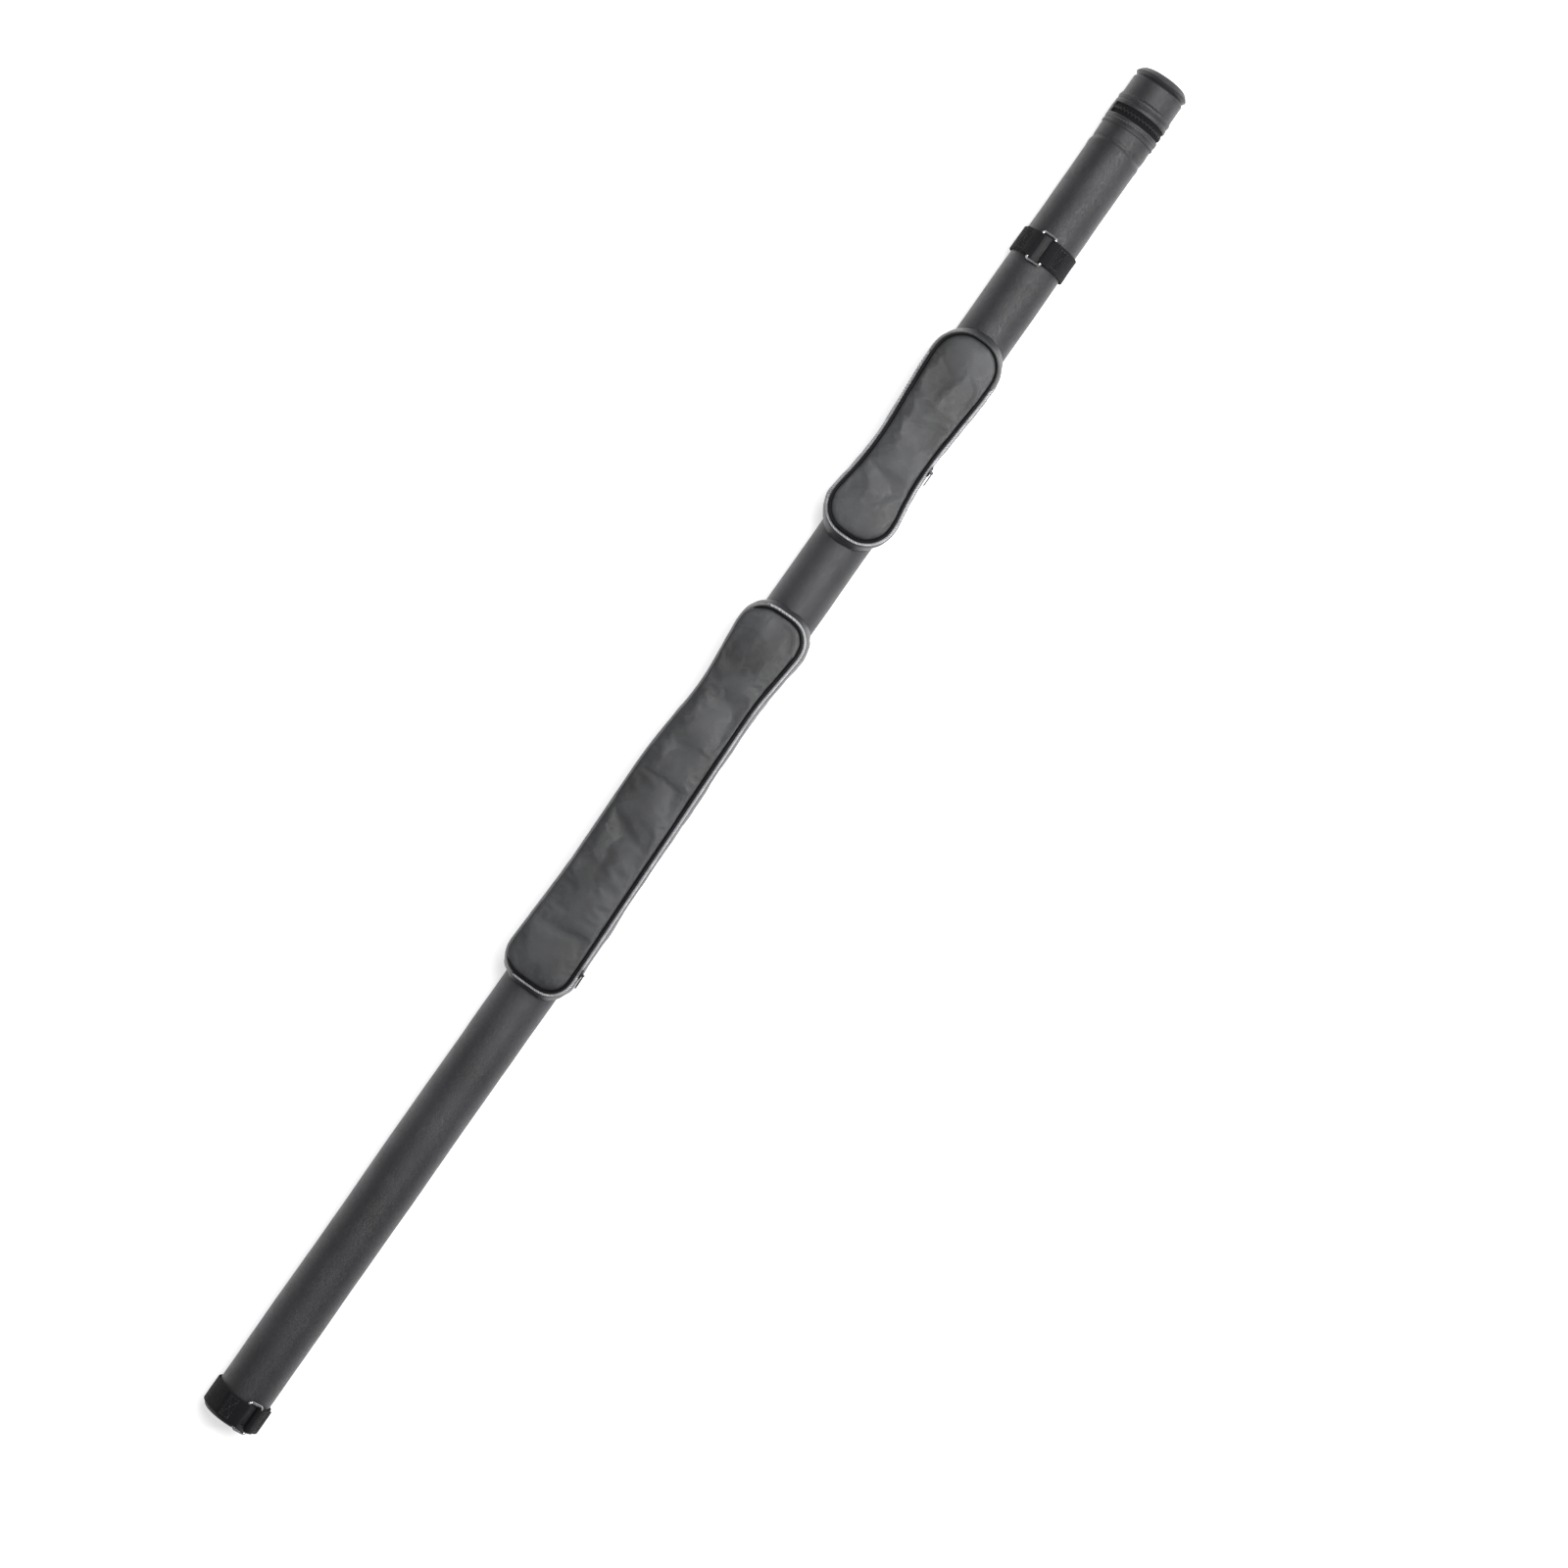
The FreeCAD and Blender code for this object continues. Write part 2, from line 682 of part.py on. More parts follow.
def slider(name, place, reach):
    """A slider's outer half: a plate over the teeth, a lip behind the fixed row, and two ears
    with a pin.  X is the way it travels, Y points to the moving row and Z out."""
    half_long, half_wide = "dims.slider_length / 2", "dims.slider_half_width"
    middle = f"(({reach} - {half_wide}) / 2)"
    top = "(dims.clearance + dims.slider_plate)"
    rise = "(dims.pin_height + 2 * dims.pin_radius)"
    lip = "(dims.tooth_width + 1.5 * dims.clearance)"
    half_ear = "(dims.ear_gap + dims.ear_wall)"
    pieces = [
        slab((f"-{half_long}", f"-{half_wide}", "dims.clearance"), (half_long, reach, top)),
        slab((f"-{half_long}", f"-{lip} - dims.lip_wall", "-dims.lip_depth"),
             (half_long, f"-{lip}", top)),
        rod("dims.pin_radius", f"2 * {half_ear}", "y",
            ("0", f"{middle} - {half_ear}", "dims.pin_height"), "pin"),
    ]
    for inner in (f"-{half_ear}", "dims.ear_gap"):
        pieces.append(slab(("-dims.ear_length / 2", f"{middle} + {inner}", top),
                           ("dims.ear_length / 2", f"{middle} + {inner} + dims.ear_wall", rise)))
    body = fuse(pieces)
    body.Placement = place
    keep(f"{name}_slider", body)


def pull(name, place, length):
    """A pull tab along -X from its eye, with a hole near its tip."""
    half_thick, half_wide = "dims.pull_thickness / 2", "dims.pull_width / 2"
    low, high = f"dims.pin_height - {half_thick}", f"dims.pin_height + {half_thick}"
    neck, half_eye = "dims.eye_width / 2", "dims.eye_width / 2"
    body = fuse([
        rod("dims.eye_radius", "dims.eye_width", "y", ("0", f"-{half_eye}", "dims.pin_height")),
        slab(("-3 * dims.eye_radius", f"-{neck}", low), ("0", neck, high)),
        slab((f"-{length}", f"-{half_wide}", low), ("-2.5 * dims.eye_radius", half_wide, high)),
    ])
    hole = doc.addObject("Part::Cylinder", "hole")
    hole.setExpression("Radius", "dims.pull_hole")
    hole.setExpression("Height", "dims.pull_thickness")
    hole.setExpression(".Placement.Base.x", f"2.6 * dims.pull_hole - {length}")
    hole.setExpression(".Placement.Base.z", low)
    bore = rod("dims.pin_radius + 0.1", "dims.pull_width", "y",
               ("0", f"-{half_wide}", "dims.pin_height"), "eye")
    tab = cut(body, fuse([hole, bore]))
    tab.Placement = place
    keep(f"{name}_pull", tab)


def add_slider(name, place, reach, length, hang=0.0):
    """A slider and its pull; hang turns the pull out from the slider about its pin."""
    slider(name, place, reach)
    middle = Y * ((size(reach[5:]) - size("slider_half_width")) / 2)
    pin = FreeCAD.Vector(0, 0, size("pin_height"))
    swing = FreeCAD.Placement(middle, FreeCAD.Rotation(Y, hang), pin)
    pull(name, place.multiply(swing), length)


def lid_slider_place():
    angle = math.radians(size("lid_slider_turn"))
    out = FreeCAD.Vector(0, math.sin(angle), math.cos(angle))
    base = out * size("lid_chain_outer") + Z * size("axis_height")
    base.x = size("zip_line") - size("overall_length") / 2
    return FreeCAD.Placement(base, FreeCAD.Rotation(X.cross(out), X, out))


def pouch_slider_place(pouch, at):
    """The place of a slider on the right side of a pouch, along its parallel zip line."""
    runs = pouch.sides[0].runs(size("chain_outer"), 0.0)
    for kind, *points in runs:
        if points[0][0] <= at <= points[-1][0]:
            start, end = points[0], points[-1]
            break
    share = (at - start[0]) / (end[0] - start[0])
    half = start[1] + share * (end[1] - start[1])
    heading = math.atan2(start[1] - end[1], end[0] - start[0]) if kind == "line" else 0.0
    if kind == "arc":
        half = size("small_waist") + size("chain_outer")
    along = FreeCAD.Vector(math.cos(heading), math.sin(heading), 0)
    height = size("parting") + size("clearance") / 2
    base = FreeCAD.Vector(at - size("overall_length") / 2, -half, height)
    local = FreeCAD.Placement(base, FreeCAD.Rotation(along, Z, along.cross(Z)))
    return pouch.place.multiply(local)


add_slider("lid", lid_slider_place(), "dims.lid_slider_reach", "dims.lid_pull_length",
           size("lid_pull_hang"))
for pouch in (small, large):
    place = pouch_slider_place(pouch, size(f"{pouch.name}_slider_at"))
    add_slider(pouch.name, place, "dims.slider_half_width", "dims.pull_length")


# ---------------------------------------------------------------- check and write

doc.recompute()
for feature in doc.Objects:
    if {"Invalid", "Error"} & set(feature.State):
        raise RuntimeError(f"{feature.Name} failed: {feature.State}")
os.makedirs("parts", exist_ok=True)
for label, feature in nodes.items():
    if feature.Shape.isNull() or not feature.Shape.isValid():
        raise RuntimeError(f"{label} has no valid shape")
    feature.Shape.exportStep(f"parts/{label}.step")
    print(f"{label:20s} {len(feature.Shape.Solids):3d} solids {feature.Shape.Volume:12.1f} mm3")
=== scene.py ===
"""Looks of a long leather carrying tube with a hinged zip lid and two zipped pouches.

Lengths run along X from the bottom end to the lid.  An angle round the tube is 0 at the
front (+Z), where the pouches are, and grows towards +Y.  Everything is in metres.
"""

import json
import math

import bmesh
import bpy
import numpy as np
from bpy.props import FloatProperty, FloatVectorProperty, IntProperty, PointerProperty
from mathutils import Matrix, Vector, geometry, noise


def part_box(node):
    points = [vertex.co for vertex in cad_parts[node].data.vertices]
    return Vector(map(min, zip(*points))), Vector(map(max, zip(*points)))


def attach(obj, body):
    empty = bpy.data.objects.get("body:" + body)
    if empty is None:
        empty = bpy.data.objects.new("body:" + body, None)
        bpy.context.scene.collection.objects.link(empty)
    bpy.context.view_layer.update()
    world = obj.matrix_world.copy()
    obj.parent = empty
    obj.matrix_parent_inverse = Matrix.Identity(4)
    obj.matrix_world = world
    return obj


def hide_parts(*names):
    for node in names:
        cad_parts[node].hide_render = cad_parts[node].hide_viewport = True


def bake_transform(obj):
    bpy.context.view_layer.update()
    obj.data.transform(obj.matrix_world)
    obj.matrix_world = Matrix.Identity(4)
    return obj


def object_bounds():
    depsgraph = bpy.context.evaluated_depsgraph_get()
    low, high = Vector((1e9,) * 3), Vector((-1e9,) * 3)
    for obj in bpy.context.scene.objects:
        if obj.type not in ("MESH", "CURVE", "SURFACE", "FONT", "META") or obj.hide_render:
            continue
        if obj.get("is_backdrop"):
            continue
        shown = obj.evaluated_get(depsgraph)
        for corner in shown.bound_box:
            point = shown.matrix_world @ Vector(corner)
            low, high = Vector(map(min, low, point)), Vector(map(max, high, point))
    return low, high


bl_info = {
    "name": "Leather carrying tube",
    "version": (1, 0, 0),
    "blender": (4, 5, 0),
    "location": "3D View > Sidebar > Carrying tube",
    "description": "Builds a long leather carrying tube with a zip lid, pouches and strap rings",
    "category": "Add Mesh",
}

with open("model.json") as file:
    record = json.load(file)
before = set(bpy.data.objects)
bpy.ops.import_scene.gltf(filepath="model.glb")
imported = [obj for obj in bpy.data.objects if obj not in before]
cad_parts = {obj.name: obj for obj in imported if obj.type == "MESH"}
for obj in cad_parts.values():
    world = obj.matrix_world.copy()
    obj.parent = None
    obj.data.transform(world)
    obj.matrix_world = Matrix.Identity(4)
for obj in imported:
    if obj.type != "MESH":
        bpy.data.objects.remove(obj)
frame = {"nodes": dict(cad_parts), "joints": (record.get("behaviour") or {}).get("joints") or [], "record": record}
JOINTS = {joint["name"]: joint for joint in frame["joints"]}
AXIS = JOINTS["lid_zip_travel"]["pos_m"][2]
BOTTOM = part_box("bottom_cup")[0].x
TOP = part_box("lid_end")[1].x
TURN = 2 * math.pi


# ---------------------------------------------------------------- sizes and colours

def length(name, text, default, low=0.0):
    """A length property, shown in the scene's own unit."""
    return FloatProperty(name=name, description=text, default=default, min=low,
                         subtype="DISTANCE", unit="LENGTH", precision=5)


def colour(name, text, default):
    return FloatVectorProperty(name=name, description=text, default=default, min=0.0, max=1.0,
                               size=3, subtype="COLOR")


class TubeSizes(bpy.types.PropertyGroup):
    """Sizes of the tube's cover, lid and bands."""

    cover_turns: IntProperty(
        name="Cover facets", description="Facets round the tube", default=96, min=24, max=256)
    slack: length("Cover slack", "How far the leather stands off or in from a true cylinder",
                  0.00045)
    crease_at: length("Crease", "Length from the bottom end to the soft crease below the lid",
                      1.4505)
    crease_depth: length("Crease depth", "Depth of the soft crease below the lid", 0.0007)
    seam_width: length("Back seam width", "Width of the folded seam along the back", 0.0022)
    webbing: length("Webbing", "Thickness of the woven bands", 0.0017)
    band_radius: length("Band radius", "Middle of the band's inner layer", 0.02865)
    tail_turn: FloatProperty(name="Band tail", description="Angle covered by each sewn tail",
                             default=math.radians(38.0), subtype="ANGLE", unit="ROTATION")
    stitch: length("Stitch", "Length of one stitch from hole to hole", 0.0032)
    thread: length("Thread", "Thickness of the sewing thread", 0.00055)


class PouchSizes(bpy.types.PropertyGroup):
    """Sizes shared by both pouches.  Heights are from the tube's axis."""

    step: length("Outline step", "Spacing of the points along the outline", 0.0022)
    weave: length("Panel mesh", "Spacing of the flap panel's cloth", 0.0034)
    piping: length("Piping", "Radius of the piping", 0.0012)
    piping_height: length("Piping height", "Height of the piping's middle", 0.0485)
    parting: length("Parting", "Height at which the zip opens", 0.04305)
    pitch: length("Tooth pitch", "Spacing of the teeth in one row", 0.0040)
    spare: FloatProperty(name="Spare leather", description="Extra leather sewn into the panel",
                         default=0.004, min=0.0, max=0.1)
    puff: FloatProperty(name="Puff", description="Pressure of the padding", default=1.6, min=0.0)


class Finishes(bpy.types.PropertyGroup):
    """Colours of the leather, webbing, zips and metal."""

    cover: colour("Cover leather", "Leather of the tube", (0.0175, 0.0175, 0.0205))
    pouch: colour("Pouch leather", "Leather of the pouches", (0.026, 0.027, 0.029))
    piping: colour("Piping", "Leather of the piping", (0.003, 0.003, 0.0035))
    webbing: colour("Webbing", "Woven bands", (0.006, 0.006, 0.007))
    # Near-black tape, darkened further, in part as painted shade of the lid's sunken zip channel.
    tape: colour("Zip tape", "Woven tape that holds the teeth", (0.005, 0.005, 0.006))
    teeth: colour("Zip teeth", "Teeth of the zips", (0.55, 0.55, 0.57))
    # Near-black lid teeth: partly their own colour, partly painted shade of the lid's sunken zip channel.
    coil: colour("Lid zip teeth", "Black teeth of the lid's zip", (0.010, 0.010, 0.011))
    zip_metal: colour("Zip metal", "Sliders and pulls", (0.07, 0.07, 0.075))
    ring: colour("Rings", "Strap rings", (0.46, 0.46, 0.48))
    thread: colour("Thread", "Sewing thread", (0.11, 0.11, 0.12))
    lining: colour("Lining", "Short plush inside", (0.014, 0.014, 0.016))
    plastic: colour("Stiff tube", "Plastic tube inside the cover", (0.35, 0.35, 0.34))
    floor: colour("Floor", "The floor under the tube", (0.86, 0.86, 0.87))


# ---------------------------------------------------------------- shader expressions

class Wire:
    """A socket of a material; arithmetic on it adds Math nodes."""

    def __init__(self, tree, socket):
        self.tree = tree
        self.socket = socket

    def maths(self, operation, *items):
        made = self.tree.nodes.new("ShaderNodeMath")
        made.operation = operation
        for socket, item in zip(made.inputs, items):
            feed(self.tree, socket, item)
        return Wire(self.tree, made.outputs[0])

    def __add__(self, other):
        return self.maths("ADD", self, other)

    def __sub__(self, other):
        return self.maths("SUBTRACT", self, other)

    def __mul__(self, other):
        return self.maths("MULTIPLY", self, other)


def feed(tree, socket, item):
    if isinstance(item, Wire):
        tree.links.new(item.socket, socket)
    else:
        socket.default_value = item


class Paint:
    """One procedural material, built round a Principled shader."""

    def __init__(self, name, **constants):
        self.material = bpy.data.materials.new(name)
        self.material.use_nodes = True
        self.tree = self.material.node_tree
        self.shader = self.tree.nodes["Principled BSDF"]
        for socket, value in constants.items():
            self.shader.inputs[socket.replace("_", " ")].default_value = value
        self.place = self.node("TexCoord", output="Object")

    def node(self, kind, settings=(), inputs=(), output=0):
        made = self.tree.nodes.new("ShaderNode" + kind)
        for key, value in dict(settings).items():
            setattr(made, key, value)
        for key, value in dict(inputs).items():
            feed(self.tree, made.inputs[key], value)
        return Wire(self.tree, made.outputs[output])

    def noise(self, scale, detail=2.0, rough=0.5, where=None):
        return self.node("TexNoise", {}, {"Vector": where or self.place, "Scale": scale,
                                          "Detail": detail, "Roughness": rough})

    def cells(self, scale, where=None):
        """Distance from the edges of small rounded cells."""
        return self.node("TexVoronoi", {"feature": "DISTANCE_TO_EDGE"},
                         {"Vector": where or self.place, "Scale": scale})

    def stretch(self, scales, where=None):
        return self.node("Mapping", {}, {"Vector": where or self.place, "Scale": scales})

    def span(self, value, low, high, start=0.0, end=1.0):
        """A value from low to high, brought to start to end and held there."""
        return self.node("MapRange", {"clamp": True}, {
            "Value": value, "From Min": low, "From Max": high, "To Min": start, "To Max": end})

    def blend(self, factor, one, two):
        return self.node("Mix", {"data_type": "RGBA"}, {0: factor, 6: one, 7: two}, output=2)

    def bump(self, height, distance, strength=1.0, under=None):
        inputs = {"Height": height, "Distance": distance, "Strength": strength}
        if under:
            inputs["Normal"] = under
        return self.node("Bump", {}, inputs)

    def finish(self, **wires):
        for socket, wire in wires.items():
            feed(self.tree, self.shader.inputs[socket.replace("_", " ")], wire)
        return self.material


def tint(shade, times):
    """A colour made lighter or darker, with its alpha."""
    return tuple(min(1.0, channel * times) for channel in shade) + (1.0,)


MATERIALS = {}


def material(name):
    """The named material, made once."""
    if name not in MATERIALS:
        recipe, colour_name, *numbers = RECIPES[name]
        shade = getattr(bpy.context.scene.tube_finishes, colour_name)
        MATERIALS[name] = recipe(name, shade, *numbers)
    return MATERIALS[name]


def leather(name, shade, grain, depth, rough, mottle, shine=0.5):
    """Fine-grained coated leather: pebbles, finer pores, soft mottling and worn high spots."""
    paint = Paint(name, Specular_IOR_Level=shine)
    pebbles = paint.cells(grain)
    pores = paint.noise(grain * 2.6, 3.0, 0.6)
    drift = paint.noise(mottle, 3.0, 0.55)
    rub = paint.noise(mottle * 5.0, 4.0, 0.65)
    high = paint.span(pebbles, 0.0, 0.35)
    # The broad mottling is partly the leather's uneven tone and partly painted broad highlights, standing for the
    # light that soft folds catch.
    base = paint.blend(paint.span(drift, 0.35, 0.65), tint(shade, 0.5), tint(shade, 1.6))
    worn = paint.blend(paint.span(rub, 0.55, 0.75, 0.0, 0.5), base, tint(shade, 1.45))
    toned = paint.blend(high * 0.5 + 0.5, tint(shade, 0.55), worn)
    gloss = paint.span(rub, 0.3, 0.7, rough + 0.07, rough - 0.06) + high * -0.04
    folds = paint.bump(paint.noise(mottle * 1.7, 3.0, 0.5), 0.0012, 0.35)
    skin = paint.bump(high + pores * 0.5, depth, 0.7, folds)
    return paint.finish(Base_Color=toned, Roughness=gloss, Normal=skin)


def woven(name, shade, rib, yarn, depth, rough, sheen):
    """Ribbed webbing or tape, read from the piece's own lengthwise and crosswise map."""
    paint = Paint(name, Sheen_Weight=sheen, Sheen_Roughness=0.5, Specular_IOR_Level=0.15)
    flat = paint.node("UVMap", {"uv_map": "Weave"})
    split = paint.node("SeparateXYZ", {}, {0: flat})
    along = split
    across = Wire(paint.tree, split.socket.node.outputs[1])
    slant = along * (TURN / rib) + across * (TURN / yarn)
    cross = along * (TURN / rib) - across * (TURN / yarn)
    over = slant.maths("SINE", slant)
    under = cross.maths("SINE", cross)
    crown = over.maths("MAXIMUM", over, under)
    fuzz = paint.noise(2400.0, 3.0, 0.6)
    drift = paint.noise(60.0, 2.0)
    level = paint.span(crown, -0.2, 1.0)
    base = paint.blend(level * 0.7 + fuzz * 0.3, tint(shade, 0.35), tint(shade, 1.7))
    toned = paint.blend(paint.span(drift, 0.3, 0.7, 0.0, 0.35), base, tint(shade, 2.1))
    skin = paint.bump(level + fuzz * 0.35, depth, 0.9)
    return paint.finish(Base_Color=toned, Roughness=paint.span(fuzz, 0.3, 0.7, rough, rough - 0.1),
                        Normal=skin)


def plated(name, shade, rough, wear):
    """Plated metal with fine scratches, dull patches and a little wear."""
    paint = Paint(name, Metallic=1.0)
    scratches = paint.noise(900.0, 4.0, 0.7, paint.stretch((1.0, 0.12, 0.12)))
    patches = paint.noise(220.0, 3.0, 0.6)
    base = paint.blend(paint.span(patches, 0.4, 0.7, 0.0, wear), tint(shade, 1.0),
                       tint(shade, 0.55))
    gloss = paint.span(scratches, 0.3, 0.75, rough - 0.04, rough + 0.14)
    skin = paint.bump(scratches, 0.00002, 0.4)
    return paint.finish(Base_Color=base, Roughness=gloss, Normal=skin)


def moulded(name, shade, rough, metal, shine=0.5):
    """Small moulded or cast pieces such as zip teeth."""
    paint = Paint(name, Specular_IOR_Level=shine, Metallic=metal)
    patches = paint.noise(520.0, 3.0, 0.6)
    grime = paint.noise(95.0, 3.0, 0.6)
    base = paint.blend(paint.span(grime, 0.35, 0.7), tint(shade, 0.7), tint(shade, 1.15))
    gloss = paint.span(patches, 0.3, 0.7, rough - 0.08, rough + 0.1)
    return paint.finish(Base_Color=base, Roughness=gloss,
                        Normal=paint.bump(patches, 0.00004, 0.5))


def twisted(name, shade):
    """Sewing thread."""
    paint = Paint(name, Sheen_Weight=0.3, Specular_IOR_Level=0.3)
    fibre = paint.noise(5200.0, 3.0, 0.7)
    base = paint.blend(fibre, tint(shade, 0.6), tint(shade, 1.5))
    return paint.finish(Base_Color=base, Roughness=paint.span(fibre, 0.3, 0.7, 0.75, 0.6),
                        Normal=paint.bump(fibre, 0.0001, 0.8))


def plush(name, shade):
    """Short brushed pile."""
    paint = Paint(name, Sheen_Weight=0.2, Sheen_Roughness=0.6, Specular_IOR_Level=0.15)
    pile = paint.noise(3200.0, 4.0, 0.75)
    nap = paint.noise(110.0, 3.0, 0.6, paint.stretch((0.4, 1.0, 1.0)))
    base = paint.blend(pile * 0.6 + nap * 0.4, tint(shade, 0.45), tint(shade, 1.9))
    skin = paint.bump(pile, 0.0004, 0.8, paint.bump(nap, 0.0008, 0.3))
    return paint.finish(Base_Color=base, Roughness=paint.span(nap, 0.3, 0.7, 0.95, 0.85),
                        Normal=skin)


def extruded(name, shade):
    """Stiff extruded plastic with faint lengthwise die lines."""
    paint = Paint(name, Specular_IOR_Level=0.4)
    lines = paint.noise(700.0, 3.0, 0.6, paint.stretch((0.02, 1.0, 1.0)))
    base = paint.blend(lines, tint(shade, 0.9), tint(shade, 1.08))
    return paint.finish(Base_Color=base, Roughness=paint.span(lines, 0.3, 0.7, 0.42, 0.55),
                        Normal=paint.bump(lines, 0.00005, 0.5))


def pale_floor(name, shade):
    paint = Paint(name, Emission_Color=(1.0, 1.0, 1.0, 1.0), Emission_Strength=0.5)
    cloud = paint.noise(3.0, 2.0)
    base = paint.blend(cloud, tint(shade, 0.99), tint(shade, 1.0))
    return paint.finish(Base_Color=base, Roughness=paint.span(cloud, 0.3, 0.7, 0.85, 0.9),
                        Normal=paint.bump(cloud, 0.0002, 0.1))


# Each material's recipe, the colour that it takes, and the recipe's own numbers.
RECIPES = {
    "cover_leather": (leather, "cover", 1250.0, 0.00016, 0.41, 9.0),
    "pouch_leather": (leather, "pouch", 1500.0, 0.00012, 0.36, 14.0),
    "piping_leather": (leather, "piping", 1900.0, 0.00006, 0.5, 40.0, 0.12),
    "webbing": (woven, "webbing", 0.0024, 0.0019, 0.00045, 0.8, 0.03),
    "zip_tape": (woven, "tape", 0.0011, 0.0009, 0.00018, 0.85, 0.0),
    "ring_steel": (plated, "ring", 0.16, 0.35),
    "zip_metal": (plated, "zip_metal", 0.30, 0.6),
    "zip_teeth": (moulded, "teeth", 0.38, 0.2),
    "coil_teeth": (moulded, "coil", 0.42, 0.0, 0.25),
    "thread": (twisted, "thread"),
    # Dark thread: the bands' own stitching, and also the dark rows in the rims' grooves that are painted shade.
    "dark_thread": (twisted, "webbing"),
    "lining_plush": (plush, "lining"),
    "tube_plastic": (extruded, "plastic"),
    "floor": (pale_floor, "floor"),
}


# ---------------------------------------------------------------- mesh helpers

def new_object(name, mesh):
    piece = bpy.data.objects.new(name, mesh)
    bpy.context.scene.collection.objects.link(piece)
    return piece


def mesh_piece(name, points, faces, maps=None):
    """A smooth piece from points and faces, merged and with its faces turned outwards.
    maps gives each corner's (lengthwise, crosswise) place."""
    mesh = bpy.data.meshes.new(name)
    mesh.from_pydata([tuple(point) for point in points], [], faces)
    if maps is not None:
        layer = mesh.uv_layers.new(name="Weave")
        layer.data.foreach_set("uv", np.array(maps, np.float32).ravel())
    bm = bmesh.new()
    bm.from_mesh(mesh)
    bmesh.ops.remove_doubles(bm, verts=bm.verts, dist=2e-6)
    bmesh.ops.recalc_face_normals(bm, faces=bm.faces)
    for face in bm.faces:
        face.smooth = True
    bm.to_mesh(mesh)
    bm.free()
    return new_object(name, mesh)


def sweep(name, places, sections, closed=False, ripple=None):
    """A closed shell: a section carried along places, each an (origin, out, up) frame.
    sections is one list of (out, up) points or one such list for each place."""
    count = len(places)
    if not isinstance(sections[0], list):
        sections = [sections] * count
    around = len(sections[0])
    points, run = [], [0.0]
    for index, (origin, out, up) in enumerate(places):
        ring = [origin + out * a + up * b for a, b in sections[index]]
        if ripple:
            ring = [point + ripple(point, out) for point in ring]
        if points:
            run.append(run[-1] + (ring[0] - points[-around]).length)
        points.extend(ring)
    run.append(run[-1] + (points[0] - points[-around]).length)
    girth = [0.0]
    for j in range(around):
        girth.append(girth[-1] + (points[(j + 1) % around] - points[j]).length)
    faces, maps = [], []
    for i in range(count if closed else count - 1):
        for j in range(around):
            here, there = i * around, (i + 1) % count * around
            k = (j + 1) % around
            faces.append((here + j, there + j, there + k, here + k))
            maps += [(run[i], girth[j]), (run[i + 1], girth[j]),
                     (run[i + 1], girth[j + 1]), (run[i], girth[j + 1])]
    if not closed:
        for start, row in ((0, run[0]), ((count - 1) * around, run[count - 1])):
            faces.append(tuple(start + j for j in range(around)))
            maps += [(row, girth[j]) for j in range(around)]
    return mesh_piece(name, points, faces, maps)


def rounded(corners, radius, steps=3):
    """A closed outline with its corners rounded; a corner may carry its own radius."""
    outline = []
    count = len(corners)
    for index, corner in enumerate(corners):
        here = Vector(corner[:2])
        own = corner[2] if len(corner) > 2 else radius
        before = Vector(corners[index - 1][:2]) - here
        after = Vector(corners[(index + 1) % count][:2]) - here
        own = min(own, before.length * 0.49, after.length * 0.49)
        start = here + before.normalized() * own
        end = here + after.normalized() * own
        for step in range(steps + 1):
            t = step / steps
            point = start * (1 - t) ** 2 + here * (2 * t * (1 - t)) + end * t ** 2
            outline.append((point.x, point.y))
    return outline


def divided(outline, longest):
    """The same closed outline with no stretch longer than this."""
    made = []
    for one, two in zip(outline, outline[1:] + outline[:1]):
        one, two = Vector(one), Vector(two)
        parts = max(1, math.ceil((two - one).length / longest))
        made += [tuple(one.lerp(two, part / parts)) for part in range(parts)]
    return made


def out_at(angle):
    """The direction out of the tube's axis at an angle from the front."""
    return Vector((0, math.sin(angle), math.cos(angle)))


def round_tube(angles):
    """Frames for a section of (radius, length from the bottom end) carried round the axis."""
    return [(Vector((BOTTOM, 0, AXIS)), out_at(angle), Vector((1, 0, 0))) for angle in angles]


def whole_turn(count):
    return [TURN * index / count for index in range(count)]


def part_turn(first, last, count):
    return [first + (last - first) * index / count for index in range(count + 1)]


def circle(radius, count, across=0.0, up=0.0):
    """A round outline about a middle point."""
    return [(across + radius * math.cos(a), up + radius * math.sin(a))
            for a in whole_turn(count)]


def on_tube(s, angle, radius):
    """A point at a length, an angle and a radius of the tube, and its outward direction."""
    out = out_at(angle)
    return Vector((BOTTOM + s, 0, AXIS)) + out * radius, out


def hump(distance, width, power=2):
    """1 in the middle, dying out smoothly over a width."""
    return math.exp(-(distance / width) ** power)


def wander(point, scale, seed):
    """Smooth noise from about -1 to 1 at a point."""
    return noise.noise(Vector(point) * scale + Vector((seed, seed * 0.7, -seed)))


def dress(piece, finish, body, *stands_for, slot=None):
    """Gives a finished piece its material, body, and the CAD nodes that it stands for."""
    piece.data.materials.clear()
    piece.data.materials.append(material(finish))
    if body:
        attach(piece, body)
    if stands_for:
        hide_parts(*stands_for)
    slot = slot or finish
    slot in {row["slot"] for row in frame["record"]["materials"]}
    return piece


def dress_node(node, finish):
    """Gives a CAD node whose shape is right its material."""
    mesh = frame["nodes"][node].data
    mesh.materials.clear()
    mesh.materials.append(material(finish))


def subdivide(piece, levels=1):
    modifier = piece.modifiers.new("smooth", "SUBSURF")
    modifier.levels = modifier.render_levels = levels
    return piece


def bevel(piece, width, segments=2):
    modifier = piece.modifiers.new("soft_edges", "BEVEL")
    modifier.width = width
    modifier.segments = segments
    modifier.limit_method = "ANGLE"
    modifier.angle_limit = math.radians(40)
    return piece


# ---------------------------------------------------------------- what repeats along a path

